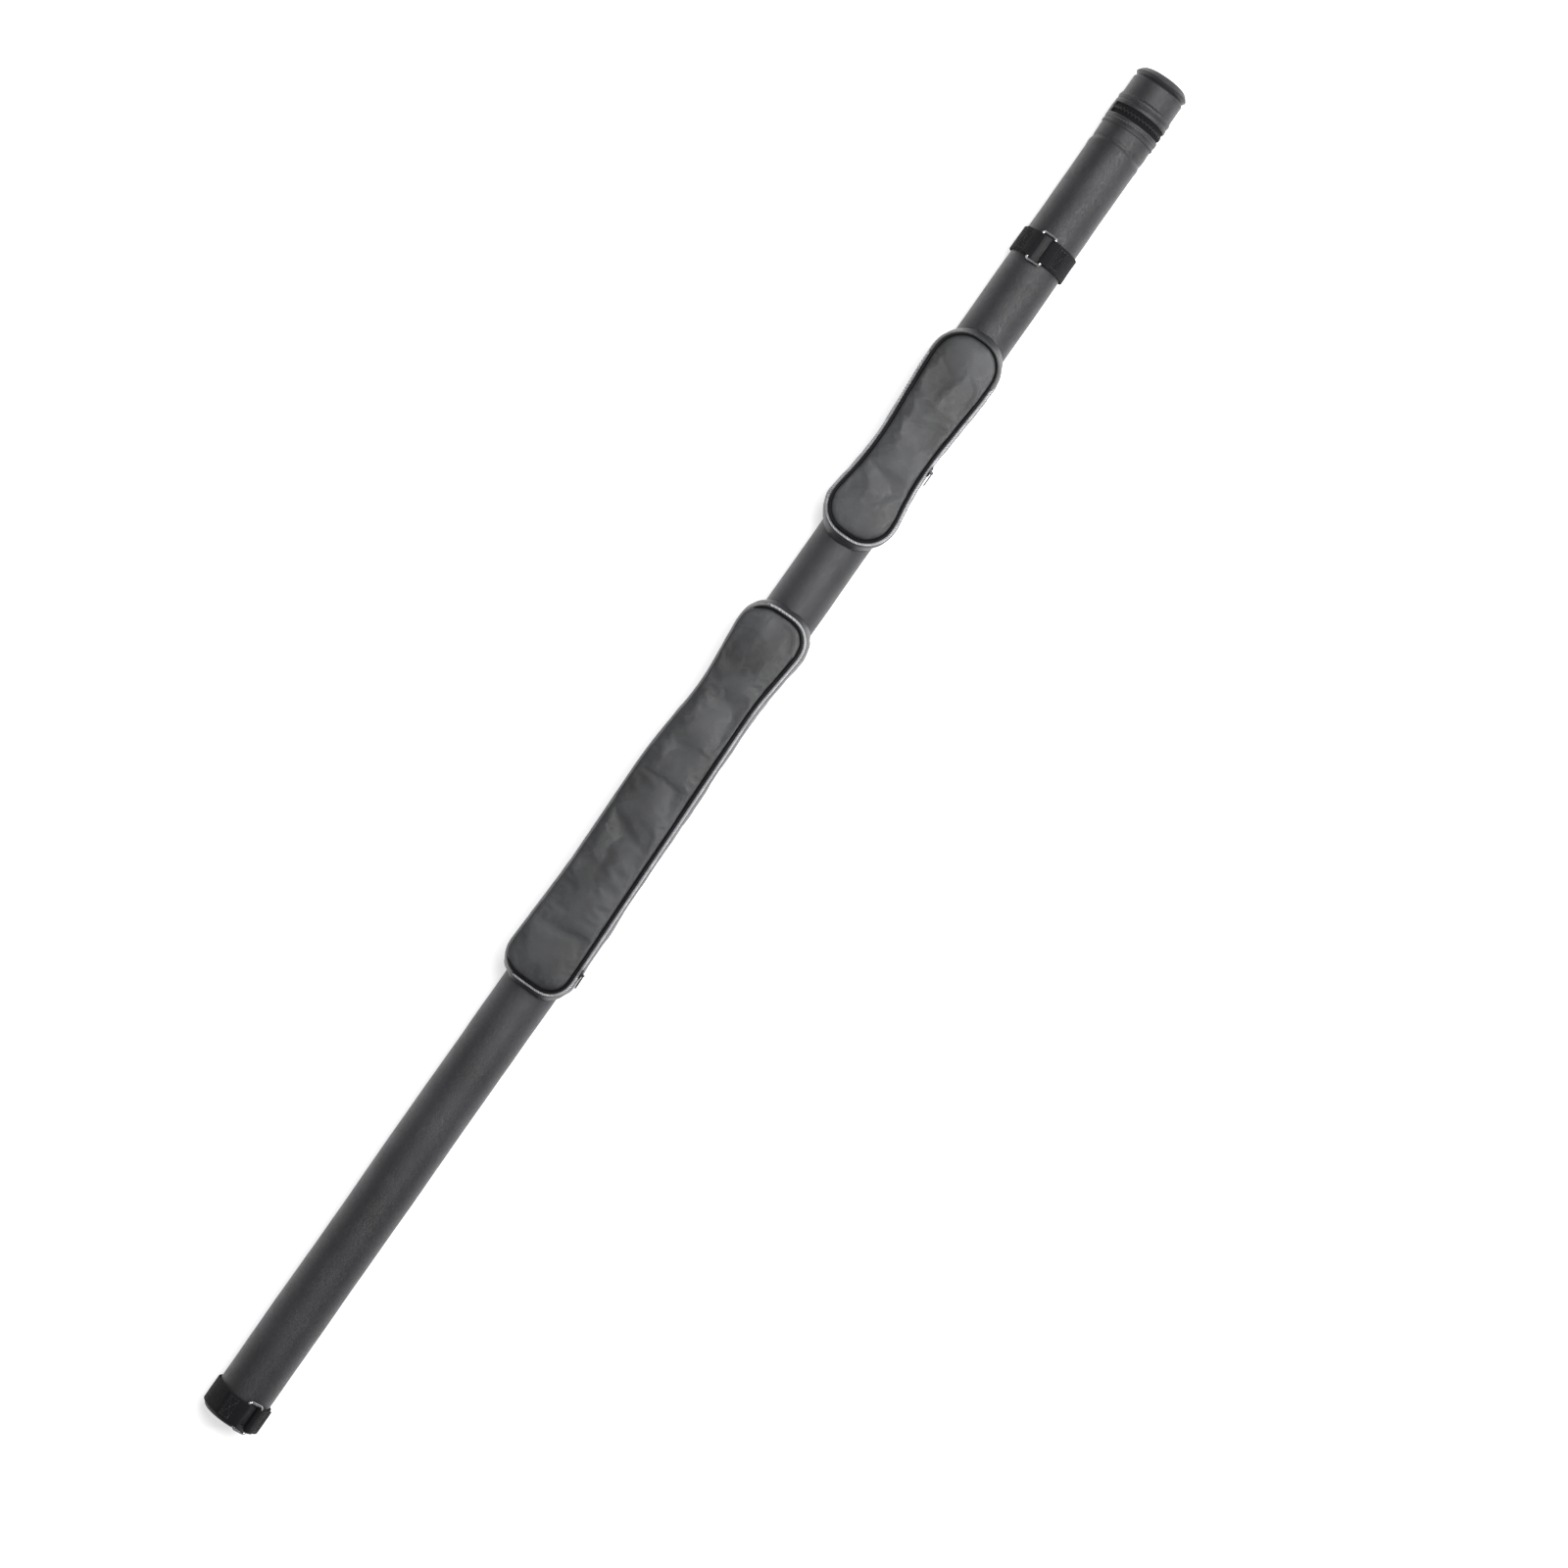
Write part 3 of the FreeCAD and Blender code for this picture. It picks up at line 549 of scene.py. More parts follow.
def repeat_tree():
    """Geometry nodes that set a unit at even steps along a path, with its Z along the path's
    "outward" direction and its X along the path."""
    if "Repeat along a path" in bpy.data.node_groups:
        return bpy.data.node_groups["Repeat along a path"]
    tree = bpy.data.node_groups.new("Repeat along a path", "GeometryNodeTree")
    face = tree.interface
    face.new_socket("Path", in_out="INPUT", socket_type="NodeSocketGeometry")
    face.new_socket("Unit", in_out="INPUT", socket_type="NodeSocketObject")
    face.new_socket("Pitch", in_out="INPUT", socket_type="NodeSocketFloat")
    face.new_socket("Unevenness", in_out="INPUT", socket_type="NodeSocketFloat")
    face.new_socket("Finish", in_out="INPUT", socket_type="NodeSocketMaterial")
    face.new_socket("Row", in_out="OUTPUT", socket_type="NodeSocketGeometry")

    def node(kind, settings=(), inputs=()):
        made = tree.nodes.new(kind)
        for key, value in dict(settings).items():
            setattr(made, key, value)
        for key, value in dict(inputs).items():
            if isinstance(value, bpy.types.NodeSocket):
                tree.links.new(value, made.inputs[key])
            else:
                made.inputs[key].default_value = value
        return made

    given = node("NodeGroupInput").outputs
    line = node("GeometryNodeMeshToCurve", {}, {"Mesh": given["Path"]})
    steps = node("GeometryNodeResampleCurve", {"mode": "LENGTH"},
                 {"Curve": line.outputs[0], "Length": given["Pitch"]})
    tangent = node("GeometryNodeInputTangent")
    outward = node("GeometryNodeInputNamedAttribute", {"data_type": "FLOAT_VECTOR"},
                   {"Name": "outward"})
    heading = node("FunctionNodeAlignRotationToVector", {"axis": "X"},
                   {"Vector": tangent.outputs[0]})
    upright = node("FunctionNodeAlignRotationToVector", {"axis": "Z", "pivot_axis": "X"},
                   {"Rotation": heading.outputs[0], "Vector": outward.outputs[0]})
    spin = node("FunctionNodeRandomValue", {"data_type": "FLOAT_VECTOR"},
                {"Min": (-1.0, -1.0, -1.0), "Max": (1.0, 1.0, 1.0), "Seed": 7})
    scaled = node("ShaderNodeVectorMath", {"operation": "SCALE"},
                  {0: spin.outputs[0], "Scale": given["Unevenness"]})
    jitter = node("FunctionNodeEulerToRotation", {}, {0: scaled.outputs[0]})
    turned = node("FunctionNodeRotateRotation", {"rotation_space": "LOCAL"},
                  {0: upright.outputs[0], 1: jitter.outputs[0]})
    unit = node("GeometryNodeObjectInfo", {}, {"Object": given["Unit"]})
    set_down = node("GeometryNodeInstanceOnPoints", {}, {
        "Points": steps.outputs[0], "Instance": unit.outputs["Geometry"],
        "Rotation": turned.outputs[0]})
    solid = node("GeometryNodeRealizeInstances", {}, {0: set_down.outputs[0]})
    finished = node("GeometryNodeSetMaterial", {}, {
        "Geometry": solid.outputs[0], "Material": given["Finish"]})
    node("NodeGroupOutput", {}, {0: finished.outputs[0]})
    return tree


def repeat(name, paths, unit, pitch, finish, uneven=0.0):
    """A plain mesh of units along paths, each a list of (point, outward direction)."""
    mesh = bpy.data.meshes.new(name + "_path")
    points, edges, outward = [], [], []
    for path in paths:
        first = len(points)
        points += [tuple(point) for point, _ in path]
        outward += [tuple(out) for _, out in path]
        edges += [(first + i, first + i + 1) for i in range(len(path) - 1)]
    mesh.from_pydata(points, edges, [])
    layer = mesh.attributes.new("outward", "FLOAT_VECTOR", "POINT")
    layer.data.foreach_set("vector", np.array(outward, np.float32).ravel())
    carrier = new_object(name + "_path", mesh)
    modifier = carrier.modifiers.new("row", "NODES")
    tree = repeat_tree()
    modifier.node_group = tree
    given = {"Unit": unit, "Pitch": pitch, "Unevenness": uneven, "Finish": material(finish)}
    for item in tree.interface.items_tree:
        if item.in_out == "INPUT" and item.name in given:
            modifier[item.identifier] = given[item.name]
    seen = carrier.evaluated_get(bpy.context.evaluated_depsgraph_get())
    row = new_object(name, bpy.data.meshes.new_from_object(seen))
    row.data.name = name
    for polygon in row.data.polygons:
        polygon.use_smooth = True
    bpy.data.objects.remove(carrier)
    bpy.data.objects.remove(unit)
    return row


def capsule(span, thick, high=0.6):
    """One stitch: a short rounded strand that dips into its holes at both ends."""
    profile = [(-0.5, 0.25), (-0.38, 0.8), (-0.15, 1.0), (0.15, 1.0), (0.38, 0.8), (0.5, 0.25)]
    places = []
    for along, girth in profile:
        rise = thick * high * (1.0 - (2 * along) ** 2 * 1.6)
        places.append((Vector((along * span, 0, rise)), Vector((0, girth, 0)),
                       Vector((0, 0, girth))))
    return sweep("stitch_unit", places, circle(thick / 2, 6))


def stitches(name, paths, body, finish="thread"):
    sizes = bpy.context.scene.tube_sizes
    unit = capsule(sizes.stitch * 0.78, sizes.thread)
    return dress(repeat(name, paths, unit, sizes.stitch, finish, 0.05), finish, body)


def tooth(width, reach, depth, lean=0.0):
    """One moulded zip tooth: a shank on the tape and a wider rounded head.
    X runs along the zip, Y towards the other row and Z out of the tape; lean slants it."""
    outline = rounded([(-0.32, -0.5), (0.32, -0.5), (0.26, 0.05), (0.5, 0.32), (0.32, 0.5),
                       (-0.32, 0.5), (-0.5, 0.32), (-0.26, 0.05)], 0.05, 1)
    rings = [(0.0, 1.0), (0.72, 1.0), (1.0, 0.72)]
    places = [(Vector((lean * depth * (level - 0.5), 0, depth * level)),
               Vector((width * share, 0, 0)),
               Vector((0, reach * (0.8 + 0.2 * share), 0))) for level, share in rings]
    return sweep("tooth_unit", places, outline)


# ---------------------------------------------------------------- tube

def at_length(node, side=0):
    """How far from the bottom end a node starts (side 0) or ends (side 1)."""
    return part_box(node)[side].x - BOTTOM


def both_ends(node):
    return at_length(node), at_length(node, 1)


def radius_of(node):
    """Outer radius of a node that is round the tube's axis."""
    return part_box(node)[1].y


def slack_leather(depth, seed, still=()):
    """Soft unevenness of glued leather, dying out towards each length in still."""
    def move(point, out):
        amount = wander(point, 9.0, seed) + 0.6 * wander(point, 31.0, seed + 5)
        for place in still:
            amount *= min(1.0, 0.15 + abs(point.x - BOTTOM - place) / 0.03)
        return out * amount * depth
    return move


def cover_ripple(sizes):
    """Slack, the crease below the lid, the pinch at each band and the seam along the back."""
    soft = slack_leather(sizes.slack, 3.0, (at_length("lower_welt"), at_length("bottom_cup", 1)))
    bands = [sum(both_ends(f"{where}_band")) / 2 for where in ("lower", "upper")]

    def move(point, out):
        s = point.x - BOTTOM
        angle = math.atan2(out.y, out.z)
        depth = 0.0
        turned = sizes.crease_at + 0.0015 * math.sin(angle * 2 + 1.0)
        depth -= sizes.crease_depth * hump(s - turned, 0.0018)
        depth += sizes.crease_depth * 0.5 * hump(s - turned + 0.005, 0.0035)
        for band in bands:
            depth -= 0.0003 * hump(s - band, 0.014, 4)
        near = hump(s - sizes.crease_at - 0.002, 0.016)
        depth += 0.0005 * near * wander((point.x, point.y * 0.5, point.z * 0.5), 120.0, 6.0)
        back = (math.pi - abs(angle)) * math.hypot(point.y, point.z - AXIS)
        depth -= 0.0007 * hump(back, sizes.seam_width * 0.35)
        depth += 0.0001 * hump(back - sizes.seam_width, 0.001)
        return soft(point, out) + out * depth
    return move


class TUBE_OT_cover(bpy.types.Operator):
    """Leather cover with its back seam, and the stiff tube, lining and plug inside it"""

    bl_idname = "carrying_tube.cover"
    bl_label = "Cover"

    def execute(self, context):
        sizes = context.scene.tube_sizes
        low, high = both_ends("leather_cover")
        outer, inner = radius_of("leather_cover"), radius_of("inner_tube")
        # Close rows of points at the crease, and close facets at the seam.
        fine = [(outer, sizes.crease_at - 0.018 + 0.0009 * k) for k in range(34)]
        section = divided([(inner, low), (outer - 0.0005, low), (outer, low + 0.0008), *fine,
                           (outer, high - 0.0005), (inner, high)], 0.008)
        angles = sorted(set(whole_turn(sizes.cover_turns))
                        | {math.pi + (k - 3) * 0.022 for k in range(7)})
        cover = sweep("leather_cover_skin", round_tube(angles), section, True,
                      cover_ripple(sizes))
        dress(cover, "cover_leather", "tube", "leather_cover")
        bands = [(at_length("lower_band", 1), at_length("upper_band")),
                 (at_length("upper_band", 1), at_length("lower_welt"))]
        rows = []
        for start, end in bands:
            for side in (-1, 1):
                rows.append([on_tube(s, math.pi + side * 0.075, outer + 0.00005)
                             for s in (start + 0.004, end - 0.004)])
        stitches("back_seam_stitches", rows, "tube")
        dress_node("inner_tube", "tube_plastic")
        dress_node("bottom_plug", "tube_plastic")
        dress_node("bottom_pad", "lining_plush")
        self.lining()
        return {"FINISHED"}

    def lining(self):
        """Plush glued inside the tube, with a soft rolled edge at the mouth."""
        low, high = both_ends("tube_lining")
        outer = radius_of("tube_lining")
        bore = outer - 0.001
        section = divided(rounded([(bore, low), (outer, low), (outer, high), (bore, high)],
                                  0.0005), 0.012)
        pile = sweep("tube_lining_plush", round_tube(whole_turn(72)), section, True,
                     slack_leather(0.00006, 21.0))
        dress(pile, "lining_plush", "tube", "tube_lining")


class TUBE_OT_bottom(bpy.types.Operator):
    """Leather cup that closes the bottom end, with its sewn edge"""

    bl_idname = "carrying_tube.bottom"
    bl_label = "Bottom end"

    def execute(self, context):
        low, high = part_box("bottom_cup")
        outer, depth = high.y, high.x - low.x
        wall = 0.0018
        corner = depth * 0.98
        section = divided(rounded([
            (0.0, 0.0004), (outer * 0.55, 0.0001), (outer, 0.0, corner), (outer, depth, 0.0003),
            (outer - wall, depth, 0.0003), (outer - wall, wall, corner - wall), (0.0, wall)],
            0.0004, 8), 0.003)
        cup = sweep("bottom_cup_skin", round_tube(whole_turn(96)), section, True,
                    slack_leather(0.00018, 8.0))
        dress(cup, "cover_leather", "tube", "bottom_cup")
        return {"FINISHED"}


class TUBE_OT_rims(bpy.types.Operator):
    """Sewn leather rims on both sides of the lid's zip"""

    bl_idname = "carrying_tube.rims"
    bl_label = "Zip rims"

    def execute(self, context):
        # Each rim: its node, body, grooves, rows of light stitches, and rows of dark thread along the grooves and
        # the edge that are painted shade of those grooves.
        for node, body, grooves, rows, seams in (
                ("lower_welt", "tube", (0.42,), (0.6,), (0.42, 0.02)),
                ("upper_welt", "lid", (0.48, 0.96), (0.76,), (0.48, 0.96))):
            low, high = both_ends(node)
            outer = radius_of(node)
            inner = radius_of("leather_cover") - 0.0002
            span = high - low
            across = [low + span * share for share in (0.0, 0.12, 0.5, 0.88, 1.0)]
            section = divided(rounded([
                (inner, across[0]), (outer - 0.0003, across[0], 0.0006), (outer, across[1]),
                (outer - 0.0002, across[2]), (outer + 0.0001, across[3]),
                (outer - 0.0002, across[4], 0.0008), (inner, across[4])], 0.0003), 0.0012)
            rim = sweep(node + "_leather", round_tube(whole_turn(128)), section, True,
                        self.puckers([low + span * share for share in grooves]))
            dress(rim, "cover_leather", body, node)
            for label, finish, shares, depth in (("stitches", "thread", rows, 0.0005),
                                                 ("seams", "dark_thread", seams, 0.0011)):
                paths = [[on_tube(low + span * share, a, outer - depth)
                          for a in whole_turn(96) + [TURN]] for share in shares]
                stitches(f"{node}_{label}", paths, body, finish)
        return {"FINISHED"}

    def puckers(self, grooves):
        """Each row of stitches draws the leather in between its holes."""
        def move(point, out):
            s = point.x - BOTTOM
            depth = 0.0
            for row in grooves:
                depth -= 0.0008 * hump(s - row, 0.0012)
            return out * (depth + 0.00018 * wander(point, 260.0, 2.0))
        return move


# ---------------------------------------------------------------- lid

class TUBE_OT_lid(bpy.types.Operator):
    """Lid with its stiff ring, lining and padded end"""

    bl_idname = "carrying_tube.lid"
    bl_label = "Lid"

    def execute(self, context):
        low, crease = both_ends("lid_cover")
        outer, inner = radius_of("lid_cover"), radius_of("lid_stiffener")
        section = divided(rounded([
            (inner, low), (outer, low), (outer, crease - 0.004), (outer + 0.0003, crease - 0.0026),
            (outer - 0.0014, crease), (inner, crease)], 0.0006), 0.0025)
        cover = sweep("lid_cover_skin", round_tube(whole_turn(96)), section, True,
                      slack_leather(0.0004, 14.0))
        dress(cover, "cover_leather", "lid", "lid_cover")
        self.end(crease)
        dress_node("lid_stiffener", "tube_plastic")
        dress_node("lid_foam", "lining_plush")
        dress_node("lid_lining", "lining_plush")
        return {"FINISHED"}

    def end(self, crease):
        """Padded end: a soft rim that stands a little proud of the lid, and a domed face."""
        rim = radius_of("lid_end")
        depth = TOP - BOTTOM - crease
        wall = 0.0018
        hollow = rim - wall - 0.001
        section = divided(rounded([
            (0.0, crease + depth - 0.0002), (rim * 0.5, crease + depth),
            (rim - 0.0042, crease + depth, 0.0035), (rim, crease + depth - 0.0055, 0.0045),
            (rim + 0.0001, crease + 0.0032, 0.002), (rim - 0.0022, crease, 0.0007),
            (hollow, crease + 0.0001), (hollow, crease + depth - 0.006),
            (rim - 0.006, crease + depth - wall), (0.0, crease + depth - wall)], 0.0004, 6), 0.002)
        face = sweep("lid_end_leather", round_tube(whole_turn(96)), section, True,
                     slack_leather(0.0003, 17.0))
        dress(face, "cover_leather", "lid", "lid_end")


class TUBE_OT_lid_zip(bpy.types.Operator):
    """Zip round the lid: both tapes, their teeth, the end stops and the leather hinge"""

    bl_idname = "carrying_tube.lid_zip"
    bl_label = "Lid zip"

    def execute(self, context):
        sizes = context.scene.pouch_sizes
        line = JOINTS["lid_hinge"]["pos_m"][0] - BOTTOM
        outer = radius_of("leather_cover")
        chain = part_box("lower_chain")[1].z - AXIS
        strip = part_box("lid_hinge_strip")
        half = math.atan2(strip[1].z - AXIS, strip[1].y) + 0.07
        first, last = math.pi / 2 + half, math.pi / 2 - half + TURN
        angles = part_turn(first, last, 110)
        for node, body, start, end in (
                ("lower_tape", "tube", at_length("lower_welt", 1) - 0.004, line - 0.0009),
                ("upper_tape", "lid", line + 0.0009, at_length("upper_welt") + 0.004)):
            section = rounded([(outer - 0.0008, start), (outer - 0.0002, start),
                               (outer - 0.0002, end), (outer - 0.0008, end)], 0.0002, 2)
            tape = sweep(node + "_weave", round_tube(angles), divided(section, 0.002))
            dress(tape, "zip_tape", body, node)
        radius = outer - 0.0001
        ring = [on_tube(line, a, radius) for a in angles]
        count = int(path_length(ring) / sizes.pitch)
        step = path_length(ring) / count
        rows = {"lower_chain": (ring[::-1], -0.0006, "tube"),
                "upper_chain": (trimmed(ring, step / 2), 0.0006, "lid")}
        for node, (path, shift, body) in rows.items():
            path = [(point + Vector((shift, 0, 0)), out) for point, out in path]
            # The lid's teeth are near-black, partly their own colour and partly painted shade of the zip's sunken
            # channel.
            unit = tooth(sizes.pitch * 0.6, 0.0027, (chain - radius) * 0.55)
            row = repeat(node + "_teeth", [path], unit, sizes.pitch, "coil_teeth", 0.02)
            dress(row, "coil_teeth", body, node, slot="zip_teeth")
        self.stops(line, radius, chain, (first, last))
        self.hinge(line, outer, half)
        return {"FINISHED"}

    def stops(self, line, radius, chain, ends):
        """Small pressed stops where the teeth end."""
        for name, angle in zip(("first", "last"), (ends[0] - 0.045, ends[1] + 0.045)):
            places = round_tube(part_turn(angle - 0.03, angle + 0.03, 3))
            section = rounded([(radius, line - 0.0022), (chain, line - 0.0022),
                               (chain, line + 0.0002), (radius, line + 0.0002)], 0.0005)
            stop = sweep(f"lid_zip_{name}_stop", places, section)
            nodes = ("lid_zip_stops",) if name == "first" else ()
            dress(bevel(stop, 0.0002), "zip_metal", "tube", *nodes)

    def hinge(self, line, outer, half):
        """Leather strip that holds the lid where the zip ends."""
        low, high = at_length("lower_welt", 1) - 0.002, at_length("upper_welt") + 0.002
        steps = 16
        top = [(outer + 0.0009 + 0.0003 * math.sin(math.pi * k / steps),
                low + (high - low) * k / steps) for k in range(steps + 1)]
        section = top + [(r - 0.0016, s) for r, s in reversed(top)]
        places = round_tube(part_turn(math.pi / 2 - half + 0.03, math.pi / 2 + half - 0.03, 20))
        strip = sweep("lid_hinge_leather", places, section,
                      ripple=slack_leather(0.0002, 4.0))
        dress(strip, "cover_leather", None, "lid_hinge_strip")
        BOTTOM + line - 0.0045
        BOTTOM + line + 0.0045
        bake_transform(strip)


# ---------------------------------------------------------------- paths

def path_length(path):
    return sum((two[0] - one[0]).length for one, two in zip(path, path[1:]))


def trimmed(path, cut):
    """The same path with this much cut off at each end."""
    points = np.array([tuple(point) for point, _ in path])
    run = np.concatenate([[0], np.cumsum(np.linalg.norm(np.diff(points, axis=0), axis=1))])
    places = [cut] + [r for r in run if cut < r < run[-1] - cut] + [run[-1] - cut]
    outs = np.array([tuple(out) for _, out in path])
    made = []
    for place in places:
        made.append((Vector([np.interp(place, run, points[:, k]) for k in range(3)]),
                     Vector([np.interp(place, run, outs[:, k]) for k in range(3)]).normalized()))
    return made


# ---------------------------------------------------------------- bands and rings

class TUBE_OT_bands(bpy.types.Operator):
    """Woven bands, each folded over the long bars of its strap ring and sewn down"""

    bl_idname = "carrying_tube.bands"
    bl_label = "Bands and rings"

    def execute(self, context):
        sizes = context.scene.tube_sizes
        for where in ("lower", "upper"):
            turn, bar_height, side, wire, long_side = self.ring_sizes(where)
            self.band(sizes, where, turn, bar_height, side, wire)
            self.ring(where, turn, bar_height, side, wire, long_side)
        return {"FINISHED"}

    def ring_sizes(self, where):
        """A ring's angle round the tube, the height and half spacing of its long bars, the
        wire's radius and the ring's half length."""
        low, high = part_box(f"{where}_ring")
        points = np.array([v.co for v in frame["nodes"][f"{where}_ring"].data.vertices])
        middle = (np.array(low) + np.array(high)) / 2
        turn = math.atan2(middle[1], middle[2] - AXIS)
        up = points[:, 1] * math.sin(turn) + (points[:, 2] - AXIS) * math.cos(turn)
        across = points[:, 1] * math.cos(turn) - (points[:, 2] - AXIS) * math.sin(turn)
        wire = (up.max() - up.min()) / 2
        return (turn, (up.max() + up.min()) / 2, across.max() - wire, wire,
                (high.x - low.x) / 2 - wire)

    def band(self, sizes, where, turn, bar_height, side, wire):
        """One ribbon: tail, loop round a bar, once round the tube, loop and tail."""
        thick = sizes.webbing
        inner = sizes.band_radius
        tail = inner + thick + 0.0001
        bar_turn = math.atan2(side, bar_height)
        bar_out = math.hypot(side, bar_height)
        loop = wire + thick / 2 + 0.0001
        path = []
        for k in range(15):
            share = k / 14
            angle = bar_turn + 0.16 + (sizes.tail_turn - 0.16) * (1 - share)
            lift = (bar_out + loop - tail) * max(0.0, (share - 0.62) / 0.38) ** 2 * 0.75
            path.append(self.point(tail + lift, angle))
        centre = self.point(bar_out, bar_turn)
        out = centre / bar_out
        sideways = Vector((out.y, -out.x))
        for k in range(13):
            a = math.radians(12 - 192 * k / 12)
            path.append(centre + (out * math.cos(a) + sideways * math.sin(a)) * loop)
        half_path = list(path)
        start, end = bar_turn + 0.12, TURN - bar_turn - 0.12
        for k in range(97):
            angle = start + (end - start) * k / 96
            below = math.cos(angle + turn - math.pi)
            reach = min(inner, (AXIS - thick / 2) / below) if below > 0.5 else inner
            path.append(self.point(reach, angle))
        path += [Vector((-p.x, p.y)) for p in reversed(half_path)]
        low, high = both_ends(f"{where}_band")
        places = []
        for k, p in enumerate(path):
            before, after = path[max(0, k - 1)], path[min(len(path) - 1, k + 1)]
            along = (after - before).normalized()
            normal = Vector((-along.y, along.x))
            places.append((self.world(p, turn, (low + high) / 2),
                           self.direction(normal, turn), Vector((1, 0, 0))))
        half = (high - low) / 2
        section = divided(rounded([(-thick / 2, -half), (thick / 2, -half),
                                   (thick / 2, half), (-thick / 2, half)], 0.0006), 0.0022)
        ribbon = sweep(f"{where}_band_webbing", places, section,
                       ripple=lambda point, out: out * 0.00022 * wander(point, 90.0, 6.0))
        dress(ribbon, "webbing", "tube", f"{where}_band")
        self.sewing(sizes, where, turn, tail + thick / 2, bar_turn, (low, high))

    def sewing(self, sizes, where, turn, radius, bar_turn, ends):
        """A sewn box with a cross on each tail."""
        low, high = ends[0] + 0.003, ends[1] - 0.003
        paths = []
        for side in (-1, 1):
            near = turn + side * (bar_turn + 0.30)
            far = turn + side * (bar_turn + sizes.tail_turn - 0.09)
            corners = [(low, near), (high, near), (high, far), (low, far), (low, near),
                       (high, far)]
            paths.append(self.on_band(corners, radius))
            paths.append(self.on_band([(high, near), (low, far)], radius))
        stitches(f"{where}_band_stitches", paths, "tube", "dark_thread")

    def on_band(self, corners, radius):
        path = []
        for (s, a), (t, b) in zip(corners, corners[1:]):
            for k in range(12):
                share = k / 12
                path.append(on_tube(s + (t - s) * share, a + (b - a) * share, radius))
        path.append(on_tube(*corners[-1], radius))
        return path

    def point(self, radius, angle):
        """A point of the band's outline: X across the ring and Y out through it."""
        return Vector((radius * math.sin(angle), radius * math.cos(angle)))

    def direction(self, flat, turn):
        across, out = Vector((0, math.cos(turn), -math.sin(turn))), out_at(turn)
        return across * flat.x + out * flat.y

    def world(self, flat, turn, s):
        return Vector((BOTTOM + s, 0, AXIS)) + self.direction(flat, turn)

    def ring(self, where, turn, bar_height, side, wire, long_side):
        """Rectangular ring of round wire, with the butt weld of its ends."""
        s = sum(both_ends(f"{where}_band")) / 2
        corner = 0.003
        outline = rounded([(-long_side, -side, corner), (long_side, -side, corner),
                           (long_side, side, corner), (-long_side, side, corner)], corner, 7)
        outline = divided(outline, 0.0015)
        places = []
        for k, (along, across) in enumerate(outline):
            before, after = Vector(outline[k - 1]), Vector(outline[(k + 1) % len(outline)])
            heading = (after - before).normalized()
            origin = self.world(Vector((across, bar_height)), turn, s + along)
            outward = Vector((heading.y, 0, 0)) + self.direction(Vector((-heading.x, 0)), turn)
            places.append((origin, outward, self.direction(Vector((0, 1)), turn)))
        weld = self.world(Vector((side, bar_height)), turn, s)

        def bead(point, out):
            return out * 0.00012 * hump((point - weld).length, 0.0016)
        made = sweep(f"{where}_ring_wire", places, circle(wire, 16), True, bead)
        dress(made, "ring_steel", "tube", f"{where}_ring")


# ---------------------------------------------------------------- pouches

# Heights over the tube's axis.
TAPE_FOOT = 0.0345
WALL_SEAM = 0.0376
HINGE_FOOT = 0.0382
WALL_TOP = 0.0398
PAD_FOOT = 0.0446

# The wall's set levels: height, distance outside the piping, and how far its ends flare.
WALL_HEIGHTS = (0.0, 0.014, 0.029, 0.0392)
WALL_DISTANCES = (-0.0048, 0.0032, 0.0053, 0.0041)
WALL_FLARES = (0.003, 0.0045, 0.004, 0.001)
WALL_THICKNESS = 0.0014


